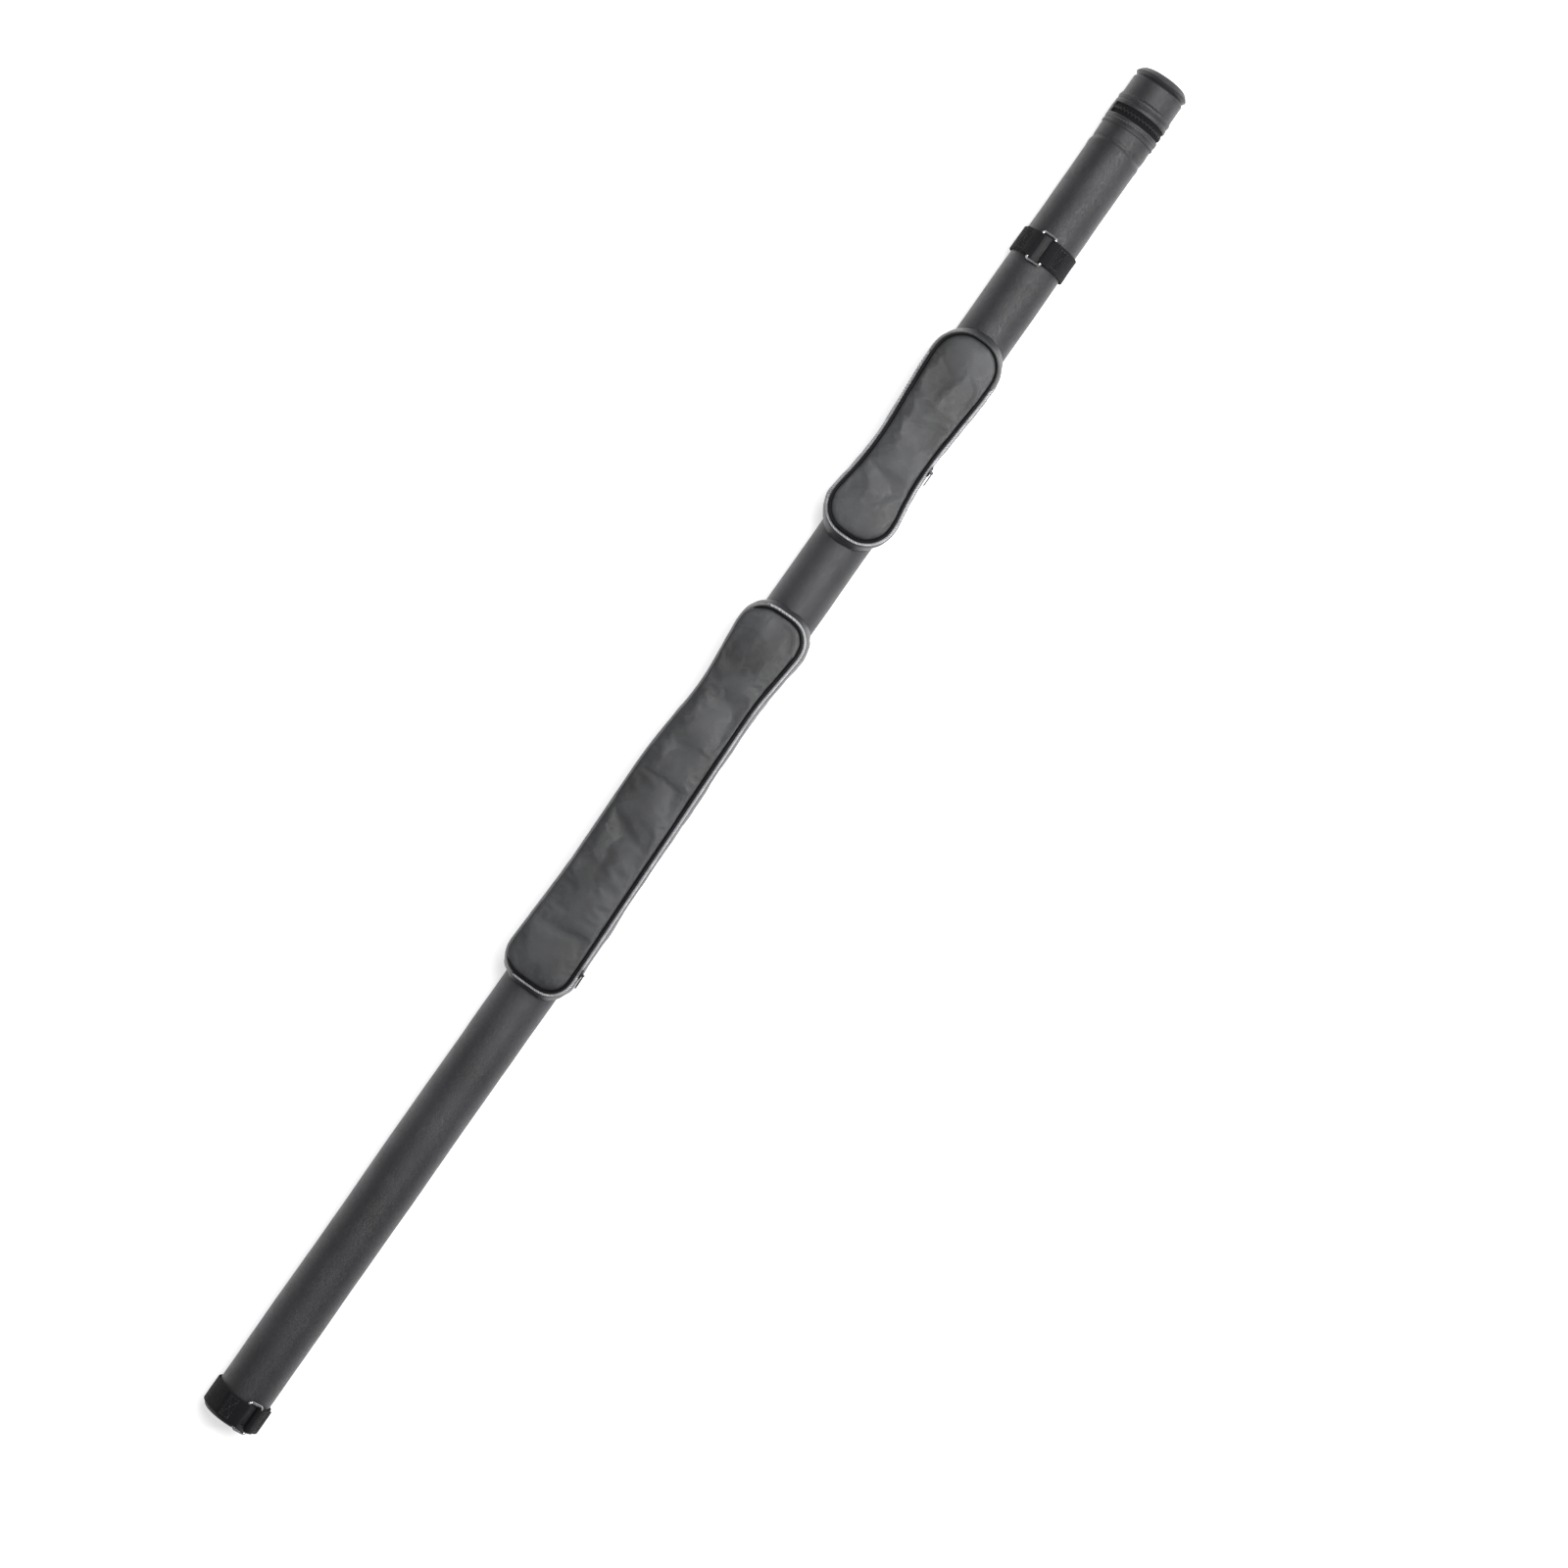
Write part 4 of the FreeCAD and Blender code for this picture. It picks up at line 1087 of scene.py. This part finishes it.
class Pouch:
    """Outline and frame of one pouch.  Points of its outline lie on the piping's middle line,
    evenly spaced and counter-clockwise from above, with the zip's first."""

    def __init__(self, name):
        self.name = name
        axis = JOINTS[f"{name}_pull_swing"]["axis"]
        self.place = (Matrix.Translation((0, 0, AXIS))
                      @ Matrix.Rotation(-math.atan2(axis[1], axis[2]), 4, "X"))
        self.turned = self.place.to_3x3()
        self.up = self.turned @ Vector((0, 0, 1))
        self.points, self.outs = self.outline(bpy.context.scene.pouch_sizes.step)
        hinge = self.local_box(f"{name}_flap_hinge")
        held = [all(hinge[0][k] - 0.0005 < (p + o * 0.003)[k] < hinge[1][k] + 0.0005
                    for k in (0, 1)) for p, o in zip(self.points, self.outs)]
        first = next(k for k in range(len(held)) if not held[k] and held[k - 1])
        self.points = self.points[first:] + self.points[:first]
        self.outs = self.outs[first:] + self.outs[:first]
        self.zip_count = held.count(False)

    def local_box(self, node):
        back = self.place.inverted()
        points = [back @ v.co for v in frame["nodes"][node].data.vertices]
        return (Vector(map(min, *points)), Vector(map(max, *points)))

    def outline(self, step):
        """The top edge of the flap's lining, evened out, moved in to the piping's middle."""
        bm = bmesh.new()
        bm.from_mesh(frame["nodes"][f"{self.name}_flap_lining"].data)
        bm.transform(self.place.inverted())
        bmesh.ops.remove_doubles(bm, verts=bm.verts, dist=1e-6)
        bm.normal_update()
        top = max(vert.co.z for vert in bm.verts)
        beside = {}
        for edge in bm.edges:
            one, two = edge.verts
            flat = sorted(abs(face.normal.z) for face in edge.link_faces)
            if min(one.co.z, two.co.z) > top - 1e-5 and flat[0] < 0.5 < flat[-1]:
                beside.setdefault(one, []).append(two)
                beside.setdefault(two, []).append(one)
        chain = [next(iter(beside))]
        before = None
        while True:
            after = next(v for v in beside[chain[-1]] if v is not before)
            if after is chain[0]:
                break
            before = chain[-1]
            chain.append(after)
        raw = np.array([(vert.co.x, vert.co.y) for vert in chain])
        bm.free()
        area = np.sum(raw[:, 0] * np.roll(raw[:, 1], -1) - raw[:, 1] * np.roll(raw[:, 0], -1))
        if area < 0:
            raw = raw[::-1]
        ring = np.vstack([raw, raw[:1]])
        run = np.concatenate([[0], np.cumsum(np.linalg.norm(np.diff(ring, axis=0), axis=1))])
        count = int(run[-1] / step)
        at = np.arange(count) * run[-1] / count
        even = np.stack([np.interp(at, run, ring[:, k]) for k in (0, 1)], axis=1)
        for _ in range(6):
            even = even * 0.5 + (np.roll(even, 1, 0) + np.roll(even, -1, 0)) * 0.25
        heading = np.roll(even, -1, 0) - np.roll(even, 1, 0)
        heading /= np.linalg.norm(heading, axis=1)[:, None]
        outs = np.stack([heading[:, 1], -heading[:, 0]], axis=1)
        even -= outs * 0.0005
        return ([Vector((x, y, 0)) for x, y in even], [Vector((x, y, 0)) for x, y in outs])

    def frames(self, indices=None):
        """Frames for a section of (distance outside the piping, height)."""
        indices = range(len(self.points)) if indices is None else indices
        return [(self.place @ self.points[k], self.turned @ self.outs[k], self.up)
                for k in indices]

    def zip_path(self, offset, height):
        """The line of the zip as a path for repeat()."""
        return [(origin + out * offset + up * height, out)
                for origin, out, up in self.frames(range(self.zip_count))]

    def tuck(self, k):
        """How far (0 to 1) the panel wraps over the piping: only along a long side's hinge."""
        if self.name != "large" or k < self.zip_count:
            return 0.0
        steps = min(k - self.zip_count, len(self.points) - 1 - k)
        build_up = 0.02
        share = min(1.0, steps * bpy.context.scene.pouch_sizes.step / build_up)
        return share * share * (3 - 2 * share)

    def hinge_indices(self, extra=2):
        count = len(self.points)
        return [k % count for k in range(self.zip_count - extra, count + extra)]


class TUBE_OT_gussets(bpy.types.Operator):
    """Soft walls of the pouches, sewn to their zip tapes"""

    bl_idname = "carrying_tube.gussets"
    bl_label = "Pouch walls"

    def execute(self, context):
        curve = np.polyfit(WALL_HEIGHTS, WALL_DISTANCES, 3)
        for name, pouch in pouches().items():
            sections = [self.column(pouch, k, curve) for k in range(len(pouch.points))]
            wall = sweep(f"{name}_pouch_wall", pouch.frames(), sections, True,
                         self.folds(pouch))
            dress(wall, "pouch_leather", "tube", f"{name}_gusset")
            rows = [[(origin + out * 0.00435 + up * WALL_SEAM, out) for origin, out, up in
                     pouch.frames(list(range(len(pouch.points))) + [0])]]
            stitches(f"{name}_pouch_wall_stitches", rows, "tube")
            dress_node(f"{name}_back_panel", "lining_plush")
        return {"FINISHED"}

    def column(self, pouch, k, curve):
        """One upright strip of the wall: outside from the tube to the zip, then inside."""
        point, out = pouch.points[k], pouch.outs[k]
        skin = radius_of("leather_cover") - 0.0004
        thick, top = WALL_THICKNESS, WALL_TOP

        def reach(height, inset):
            flare = float(np.interp(height, WALL_HEIGHTS, WALL_FLARES))
            return float(np.polyval(curve, height)) + abs(out.x) ** 3 * flare - inset

        def foot(inset):
            low, high = 0.0, top
            for _ in range(24):
                middle = (low + high) / 2
                y = point.y + out.y * reach(middle, inset)
                low, high = ((low, middle) if math.hypot(y, middle) > skin
                             else (middle, high))
            return low
        outside, inside = foot(0.0), foot(thick)
        rows = 14
        strip = []
        for row in range(rows):
            height = outside + (top - 0.0006 - outside) * row / (rows - 1)
            strip.append((reach(height, 0.0), height))
        strip += [(reach(top, 0.0) - 0.0005, top), (0.0022, top + 0.0004),
                  (0.0019, top + 0.0002), (0.0019, top - 0.0016)]
        for row in range(rows - 4):
            height = top - 0.003 + (inside - top + 0.003) * row / (rows - 5)
            strip.append((reach(height, thick), height))
        return strip

    def folds(self, pouch):
        """Slack of the soft wall: broad sagging and upright puckers at the corners."""
        ends = [p.x for p in pouch.points]
        low, high = min(ends), max(ends)

        def move(point, out):
            corner = hump(min(point.x - low, high - point.x), 0.03)
            broad = wander(point, 26.0, 11.0) * 0.0014
            broad += wander((point.x + point.z * 0.8, point.y, point.z), 95.0, 2.0) * 0.0006
            pucker = wander((point.x, point.y, point.z * 0.25), 150.0, 3.0) * 0.0009 * corner
            height = point.z - AXIS
            hold = min(1.0, max(0.0, (0.0385 - height) / 0.012))
            return out * (broad + pucker) * hold
        return move


class TUBE_OT_pouch_zips(bpy.types.Operator):
    """Tapes and teeth of the pouch zips, and the leather that each flap turns on"""

    bl_idname = "carrying_tube.pouch_zips"
    bl_label = "Pouch zips"

    def execute(self, context):
        sizes = context.scene.pouch_sizes
        for name, pouch in pouches().items():
            flap = f"{name}_flap"
            self.tape(pouch, "base_tape", "tube", TAPE_FOOT, sizes.parting - 0.0011)
            self.tape(pouch, "flap_tape", flap, sizes.parting + 0.0011,
                      sizes.piping_height - 0.0014)
            line = pouch.zip_path(0.0017, 0.0)
            count = int(path_length(line) / sizes.pitch)
            step = path_length(line) / count
            for node, path, lift, lean, body in (
                    ("base_chain", line, -0.0006, 0.7, "tube"),
                    ("flap_chain", trimmed(line, step / 2)[::-1], 0.0006, -0.7, flap)):
                path = [(point + pouch.up * (sizes.parting + lift), out) for point, out in path]
                unit = tooth(sizes.pitch * 0.5, 0.0027, 0.0026, lean)
                row = repeat(f"{name}_{node}_teeth", [path], unit, sizes.pitch, "zip_teeth", 0.02)
                dress(row, "zip_teeth", body, f"{name}_{node}")
            self.sewing(pouch, sizes, flap)
            self.hinge(pouch, sizes, flap)
        return {"FINISHED"}

    def tape(self, pouch, part, body, low, high):
        section = divided(rounded([(0.0011, low), (0.0017, low), (0.0017, high),
                                   (0.0011, high)], 0.0002, 2), 0.0015)
        made = sweep(f"{pouch.name}_{part}_weave", pouch.frames(), section, True)
        dress(made, "zip_tape", body, f"{pouch.name}_{part}")

    def sewing(self, pouch, sizes, flap):
        row = pouch.zip_path(0.00175, sizes.parting + 0.0027)
        stitches(f"{pouch.name}_flap_stitches", [row], flap)

    def hinge(self, pouch, sizes, flap):
        """A folded strip of leather from the wall's top to the flap's edge."""
        low, high = HINGE_FOOT, sizes.piping_height - 0.0012
        steps = 12
        bulge = [0.0040 + (0.0016 - 0.0040) * (k / steps) ** 2
                 + 0.0006 * math.sin(math.pi * k / steps) for k in range(steps + 1)]
        outer = [(bulge[k], low + (high - low) * k / steps) for k in range(steps + 1)]
        section = outer + [(a - 0.001, b) for a, b in reversed(outer)]
        strip = sweep(f"{pouch.name}_flap_hinge_leather", pouch.frames(pouch.hinge_indices()),
                      section, ripple=slack_leather(0.0002, 12.0))
        dress(strip, "pouch_leather", None, f"{pouch.name}_flap_hinge")
        middle = Vector(JOINTS[f"{pouch.name}_flap_hinge"]["pos_m"])
        tuple(middle - pouch.up * 0.0028)
        tuple(middle + pouch.up * 0.0028)
        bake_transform(strip)


class TUBE_OT_flaps(bpy.types.Operator):
    """Padded leather flaps with their piping and lining"""

    bl_idname = "carrying_tube.flaps"
    bl_label = "Flaps"

    def execute(self, context):
        sizes = context.scene.pouch_sizes
        for name, pouch in pouches().items():
            body = f"{name}_flap"
            self.piping(pouch, sizes, body)
            pad = self.pad(pouch, sizes)
            dress(pad, "pouch_leather", body, f"{name}_flap_panel", f"{name}_flap_padding")
            dress_node(f"{name}_flap_lining", "lining_plush")
        return {"FINISHED"}

    def piping(self, pouch, sizes, body):
        section = circle(sizes.piping, 14, up=sizes.piping_height)
        sections = []
        for k in range(len(pouch.points)):
            low = 0.0016 * pouch.tuck(k)
            sections.append([(a, b - low) for a, b in section])
        made = sweep(f"{pouch.name}_flap_piping_cord", pouch.frames(), sections, True,
                     lambda point, out: out * 0.00022 * wander(point, 55.0, 9.0))
        dress(made, "piping_leather", body, f"{pouch.name}_flap_piping")

    def pad(self, pouch, sizes):
        """The flap's padded panel: slack leather over foam, held at its edge by the piping."""
        low, high = PAD_FOOT, sizes.piping_height + 0.0003
        rim = [p - o * (0.0007 - 0.0030 * pouch.tuck(k))
               for k, (p, o) in enumerate(zip(pouch.points, pouch.outs))]
        flat, faces = self.net(rim, sizes.weave)
        count, edge = len(flat), len(rim)
        border = np.array([tuple(p)[:2] for p in rim])
        points = []
        for x, y in flat:
            near = float(np.min(np.hypot(border[:, 0] - x, border[:, 1] - y)))
            crown = 0.0021 * (1 - math.exp(-near / 0.007))
            folds = (0.0012 * wander((x * 0.3, y, 0), 48.0, 1.0)
                     + 0.0009 * wander((x, y, 0), 26.0, 4.0))
            points.append((x, y, high + crown + folds * min(1.0, near / 0.008)))
        points += [(x, y, low) for x, y in flat]
        turned = [tuple(count + k for k in reversed(face)) for face in faces]
        skirt = [(k, k + count, (k + 1) % edge + count, (k + 1) % edge) for k in range(edge)]
        mesh = bpy.data.meshes.new(f"{pouch.name}_flap_pad")
        mesh.from_pydata(points, [], faces + turned + skirt)
        pad = new_object(f"{pouch.name}_flap_pad", mesh)
        bm = bmesh.new()
        bm.from_mesh(mesh)
        bmesh.ops.recalc_face_normals(bm, faces=bm.faces)
        bm.to_mesh(mesh)
        bm.free()
        for polygon in mesh.polygons:
            polygon.use_smooth = True
        held = list(range(edge)) + list(range(count, 2 * count))
        self.settle(pad, held, sizes)
        mesh.transform(pouch.place)
        return subdivide(pad)

    def net(self, rim, spacing):
        """An even triangle net inside a rim, whose own points come first."""
        border = np.array([tuple(p)[:2] for p in rim])
        low, high = border.min(0), border.max(0)
        inner = []
        rows = int((high[1] - low[1]) / (spacing * 0.866)) + 1
        columns = int((high[0] - low[0]) / spacing) + 1
        following = np.roll(border, -1, 0)
        for row in range(rows):
            y = low[1] + row * spacing * 0.866
            for column in range(columns):
                x = low[0] + (column + 0.5 * (row % 2)) * spacing
                if np.min(np.hypot(border[:, 0] - x, border[:, 1] - y)) < spacing * 0.6:
                    continue
                spans = (border[:, 1] > y) != (following[:, 1] > y)
                rise = np.where(following[:, 1] == border[:, 1], 1e-9,
                                following[:, 1] - border[:, 1])
                cross = border[:, 0] + (y - border[:, 1]) / rise * (following[:, 0] - border[:, 0])
                if np.sum(spans & (x < cross)) % 2:
                    inner.append((x, y))
        flat = [tuple(p) for p in border] + inner
        edges = [(k, (k + 1) % len(border)) for k in range(len(border))]
        made = geometry.delaunay_2d_cdt([Vector(p) for p in flat], edges, [], 1, 1e-7)
        if len(made[0]) != len(flat):
            raise RuntimeError("the panel's net moved its own points")
        return flat, [tuple(face) for face in made[2]]

    def settle(self, pad, held, sizes):
        """Lets the slack leather settle over its padding as cloth, with its edge held."""
        rest = np.array([v.co for v in pad.data.vertices])
        group = pad.vertex_groups.new(name="held")
        group.add(held, 1.0, "REPLACE")
        cloth = pad.modifiers.new("cloth", "CLOTH")
        given = cloth.settings
        given.quality = 8
        given.mass = 0.15
        given.vertex_group_mass = "held"
        given.tension_stiffness = given.compression_stiffness = 18.0
        given.shear_stiffness = 8.0
        given.bending_stiffness = 1.2
        given.tension_damping = given.compression_damping = given.shear_damping = 8.0
        given.air_damping = 2.0
        given.shrink_min = -sizes.spare
        given.use_pressure = True
        given.uniform_pressure_force = sizes.puff
        given.effector_weights.gravity = 0.0
        cloth.collision_settings.use_collision = False
        scene = bpy.context.scene
        cloth.point_cache.frame_start, cloth.point_cache.frame_end = 1, 24
        for number in range(1, 25):
            scene.frame_set(number)
        seen = pad.evaluated_get(bpy.context.evaluated_depsgraph_get())
        moved = np.array([v.co for v in seen.data.vertices])
        pad.modifiers.remove(cloth)
        scene.frame_set(1)
        shift = moved - rest
        size = np.linalg.norm(shift, axis=1)[:, None]
        shift *= np.minimum(1.0, 0.006 / np.maximum(size, 1e-9))
        pad.data.vertices.foreach_set("co", (rest + shift).astype(np.float32).ravel())
        pad.data.update()


POUCHES = {}


def pouches():
    """Both pouches, read from the frame once."""
    if not POUCHES:
        POUCHES.update({name: Pouch(name) for name in ("small", "large")})
    return POUCHES


# ---------------------------------------------------------------- sliders and pulls

def slider_place(kind):
    """Frame of a slider: X along its zip, Y towards the moving row, Z out, from its pin."""
    joint = JOINTS[f"{kind}_pull_swing"]
    pin = Vector(joint["pos_m"])
    y = Vector(joint["axis"]).normalized() * (-1 if kind == "lid" else 1)
    if kind == "lid":
        z = Vector((0, pin.y, pin.z - AXIS)).normalized()
    else:
        along = JOINTS["large_zip_travel"]["axis"] if kind == "large" else (1, 0, 0)
        z = Vector(along).cross(y).normalized()
    x = y.cross(z)
    return Matrix.Translation(pin) @ Matrix((x, y, z)).transposed().to_4x4()


def plate(name, outline, low, high, edge, upright=False):
    """A flat piece from its outline, with softened edges.  An upright one stands across Y."""
    across, out = Vector((0, 1, 0)), Vector((0, 0, 1))
    if upright:
        across, out = out, across
    places = [(out * level, Vector((1, 0, 0)), across) for level in (low, high)]
    return bevel(sweep(name, places, outline), edge)


def merge(name, pieces):
    """One piece from several, with their modifiers applied."""
    bm = bmesh.new()
    for piece in pieces:
        seen = piece.evaluated_get(bpy.context.evaluated_depsgraph_get())
        bm.from_mesh(seen.data)
    mesh = bpy.data.meshes.new(name)
    bm.to_mesh(mesh)
    bm.free()
    for piece in pieces:
        bpy.data.objects.remove(piece)
    return new_object(name, mesh)


class TUBE_OT_sliders(bpy.types.Operator):
    """Sliders of the three zips and their pull tabs"""

    bl_idname = "carrying_tube.sliders"
    bl_label = "Sliders and pulls"

    def execute(self, context):
        for kind in ("lid", "small", "large"):
            place = slider_place(kind)
            self.slider(kind, place)
            self.pull(kind, place)
        return {"FINISHED"}

    def slider(self, kind, place):
        """Shield-shaped plate with a lip along one side, a nose and two ears that hold the pin."""
        low, top = -0.0030, -0.0018
        half, back = 0.0039, 0.0022
        front = 0.0026 if kind == "lid" else half
        shield = rounded([(-0.005, -back - 0.0006), (-0.0012, -half), (0.0036, -half, 0.001),
                          (0.005, -half * 0.55), (0.0056, 0.0), (0.005, front * 0.55),
                          (0.0036, front, 0.001), (-0.0012, front), (-0.005, back * 0.8)],
                         0.0008, 3)
        parts = [plate("shield", shield, low, top, 0.0004)]
        nose = rounded([(-0.0046, -0.0011), (0.0046, -0.0015), (0.0046, 0.0015),
                        (-0.0046, 0.0011)], 0.0009)
        parts.append(plate("nose", nose, top - 0.0003, top + 0.0004, 0.0003))
        lip = rounded([(-0.0046, -half), (0.0040, -half), (0.0040, -half + 0.0007),
                       (-0.0046, -half + 0.0007)], 0.0002)
        parts.append(plate("lip", lip, low - 0.0012, low + 0.0004, 0.0002))
        for side in (-1, 1):
            ear = rounded([(-0.0017, top - 0.0002), (0.0017, top - 0.0002),
                           (0.0010, 0.0010, 0.0009), (-0.0010, 0.0010, 0.0009)], 0.0003)
            low_y, high_y = sorted((side * 0.0013, side * 0.002))
            parts.append(plate("ear", ear, low_y, high_y, 0.00015, upright=True))
        parts.append(plate("pin", circle(0.0005, 14), -0.0021, 0.0021, 0.00012, upright=True))
        made = merge(f"{kind}_slider_metal", parts)
        made.data.transform(place)
        dress(made, "zip_metal", f"{kind}_zip_slider", f"{kind}_slider")

    def pull(self, kind, place):
        """Tapered tab with a raised border and a hole, on an eye that turns on the pin."""
        node = frame["nodes"][f"{kind}_pull"]
        back = place.inverted()
        points = [back @ v.co for v in node.data.vertices]
        far = max(points, key=lambda p: Vector((p.x, 0, p.z)).length)
        span = Vector((far.x, 0, far.z)).length - 0.0002
        turn = self.hang(points)
        half, thick = 0.0025, 0.0006
        tab = rounded([(-0.0026, -0.0011, 0.0006), (-0.0040, -0.0020, 0.001),
                       (-span, -half, 0.0018), (-span, half, 0.0018), (-0.0040, 0.0020, 0.001),
                       (-0.0026, 0.0011, 0.0006)], 0.001, 5)
        hole = circle(0.0011, 20, across=-span + 0.0028)
        parts = [self.holed("tab", tab, hole, -thick * 0.7, thick * 0.7)]
        opening = rounded([(x * 0.92 - 0.0004, y * 0.74) for x, y in tab[::6]], 0.0008)
        parts.append(self.holed("border", tab, opening, -thick, thick))
        neck = rounded([(-0.0034, -0.001), (0.0, -0.001), (0.0, 0.001), (-0.0034, 0.001)],
                       0.0002)
        parts.append(plate("neck", neck, -thick, thick, 0.0002))
        parts.append(self.holed("eye", circle(0.0012, 20), circle(0.0006, 20), -0.001, 0.001,
                                upright=True))
        made = merge(f"{kind}_pull_tab", parts)
        made.data.transform(place @ Matrix.Rotation(turn, 4, "Y"))
        dress(made, "zip_metal", f"{kind}_zip_pull", f"{kind}_pull")

    def hang(self, points):
        """How far the tab is turned about its pin in the frame."""
        middle = sum((Vector((p.x, 0, p.z)) for p in points), Vector()) / len(points)
        return math.atan2(middle.z, -middle.x)

    def holed(self, name, outline, hole, low, high, upright=False):
        """A flat piece with one hole, from two outlines."""
        loops = [[Vector(p) for p in outline], [Vector(p) for p in hole]]
        flat = loops[0] + loops[1]
        edges, first = [], 0
        for loop in loops:
            edges += [(first + k, first + (k + 1) % len(loop)) for k in range(len(loop))]
            first += len(loop)
        made = geometry.delaunay_2d_cdt(flat, edges, [], 1, 1e-7)
        faces = []
        for face in made[2]:
            centre = sum((made[0][k] for k in face), Vector((0, 0))) / len(face)
            if not self.inside(centre, loops[1]):
                faces.append(tuple(face))
        count = len(made[0])
        points = [(p.x, p.y, level) for level in (low, high) for p in made[0]]
        if upright:
            points = [(x, z, y) for x, y, z in points]
        sides = [(a, b, b + count, a + count) for a, b in edges]
        caps = [tuple(k + count for k in face) for face in faces]
        return bevel(mesh_piece(name, points, faces + caps + sides), 0.00015)

    def inside(self, point, loop):
        hits = 0
        for one, two in zip(loop, loop[1:] + loop[:1]):
            if (one.y > point.y) != (two.y > point.y):
                hits += point.x < one.x + (point.y - one.y) / (two.y - one.y) * (two.x - one.x)
        return hits % 2 == 1


# ---------------------------------------------------------------- stage

class StageSizes(bpy.types.PropertyGroup):
    """Camera and lights."""

    height: length("Camera height", "Height of the camera over the floor", 3.45)
    lens: FloatProperty(name="Lens", description="Focal length in millimetres", default=83.8)
    roll: FloatProperty(name="Roll", description="Turn of the tube in the view, from upright",
                        default=math.radians(35.05), subtype="ANGLE", unit="ROTATION")
    aim_x: FloatProperty(name="Aim X", description="Where the camera looks along the tube",
                         default=0.0211, subtype="DISTANCE", unit="LENGTH")
    aim_y: FloatProperty(name="Aim Y", description="Where the camera looks beside the tube",
                         default=-0.0859, subtype="DISTANCE", unit="LENGTH")
    power: FloatProperty(name="Key light", description="Power of the large soft light",
                         default=70.0, subtype="POWER", unit="POWER")


class TUBE_OT_stage(bpy.types.Operator):
    """Pale floor, soft lights and the camera"""

    bl_idname = "carrying_tube.stage"
    bl_label = "Stage"

    def execute(self, context):
        sizes = context.scene.stage_sizes
        low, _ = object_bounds()
        bm = bmesh.new()
        half_width = 20.0
        bmesh.ops.create_grid(bm, x_segments=8, y_segments=8, size=half_width)
        mesh = bpy.data.meshes.new("floor")
        bm.to_mesh(mesh)
        bm.free()
        mesh.transform(Matrix.Translation((0, 0, low.z)))
        floor = new_object("floor", mesh)
        mesh.materials.append(material("floor"))
        floor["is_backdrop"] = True
        for name, where, aim, size, share in (
                ("key_light", (1.0, -1.35, 2.0), (0.4, 0.0, 0.0), (1.5, 0.6), 0.85),
                ("top_light", (0.9, -0.2, 3.6), (0.4, 0.0, 0.0), (1.2, 0.9), 1.1),
                ("back_light", (-0.6, 2.2, 1.8), (0.0, 0.0, 0.0), (2.4, 1.0), 0.12)):
            self.light(name, where, aim, size, sizes.power * share)
        world = bpy.data.worlds.new("studio")
        context.scene.world = world
        world.use_nodes = True
        sky = world.node_tree.nodes["Background"].inputs
        sky["Color"].default_value = (1, 1, 1, 1)
        sky["Strength"].default_value = 0.24
        context.scene.view_settings.view_transform = "Standard"
        lens = bpy.data.cameras.new("camera")
        lens.lens = sizes.lens
        lens.sensor_width = 36.0
        lens.clip_start, lens.clip_end = 0.05, 50.0
        camera = bpy.data.objects.new("camera", lens)
        context.scene.collection.objects.link(camera)
        camera.location = (sizes.aim_x, sizes.aim_y, sizes.height)
        camera.rotation_euler = (0.0, 0.0, sizes.roll - math.pi / 2)
        context.scene.camera = camera
        return {"FINISHED"}

    def light(self, name, where, aim, size, power):
        lamp = bpy.data.lights.new(name, "AREA")
        lamp.shape = "RECTANGLE"
        lamp.size, lamp.size_y = size
        lamp.energy = power
        holder = bpy.data.objects.new(name, lamp)
        bpy.context.scene.collection.objects.link(holder)
        holder.location = where
        heading = Vector(aim) - Vector(where)
        holder.rotation_mode = "QUATERNION"
        holder.rotation_quaternion = heading.to_track_quat("-Z", "Y")


class TUBE_PT_panel(bpy.types.Panel):
    """Lists the steps of the carrying tube"""

    bl_idname = "TUBE_PT_panel"
    bl_label = "Carrying tube"
    bl_space_type = "VIEW_3D"
    bl_region_type = "UI"
    bl_category = "Carrying tube"

    def draw(self, context):
        scene = context.scene
        for sizes in (scene.tube_sizes, scene.pouch_sizes, scene.tube_finishes,
                      scene.stage_sizes):
            box = self.layout.box()
            for key in sizes.__annotations__:
                box.prop(sizes, key)
        for operator in STEPS:
            self.layout.operator(operator.bl_idname)


STEPS = (TUBE_OT_cover, TUBE_OT_bottom, TUBE_OT_rims, TUBE_OT_lid, TUBE_OT_lid_zip,
         TUBE_OT_bands, TUBE_OT_gussets, TUBE_OT_pouch_zips, TUBE_OT_flaps, TUBE_OT_sliders,
         TUBE_OT_stage)
GROUPS = {"tube_sizes": TubeSizes, "pouch_sizes": PouchSizes, "tube_finishes": Finishes,
          "stage_sizes": StageSizes}


def register():
    for group in (*GROUPS.values(), *STEPS, TUBE_PT_panel):
        bpy.utils.register_class(group)
    for name, group in GROUPS.items():
        setattr(bpy.types.Scene, name, PointerProperty(type=group))


def unregister():
    for name in GROUPS:
        delattr(bpy.types.Scene, name)
    for group in reversed((*GROUPS.values(), *STEPS, TUBE_PT_panel)):
        bpy.utils.unregister_class(group)


def main():
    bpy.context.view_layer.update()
    register()
    for step in STEPS:
        group, name = step.bl_idname.split(".")
        getattr(getattr(bpy.ops, group), name)()


if __name__ == "__main__":
    main()
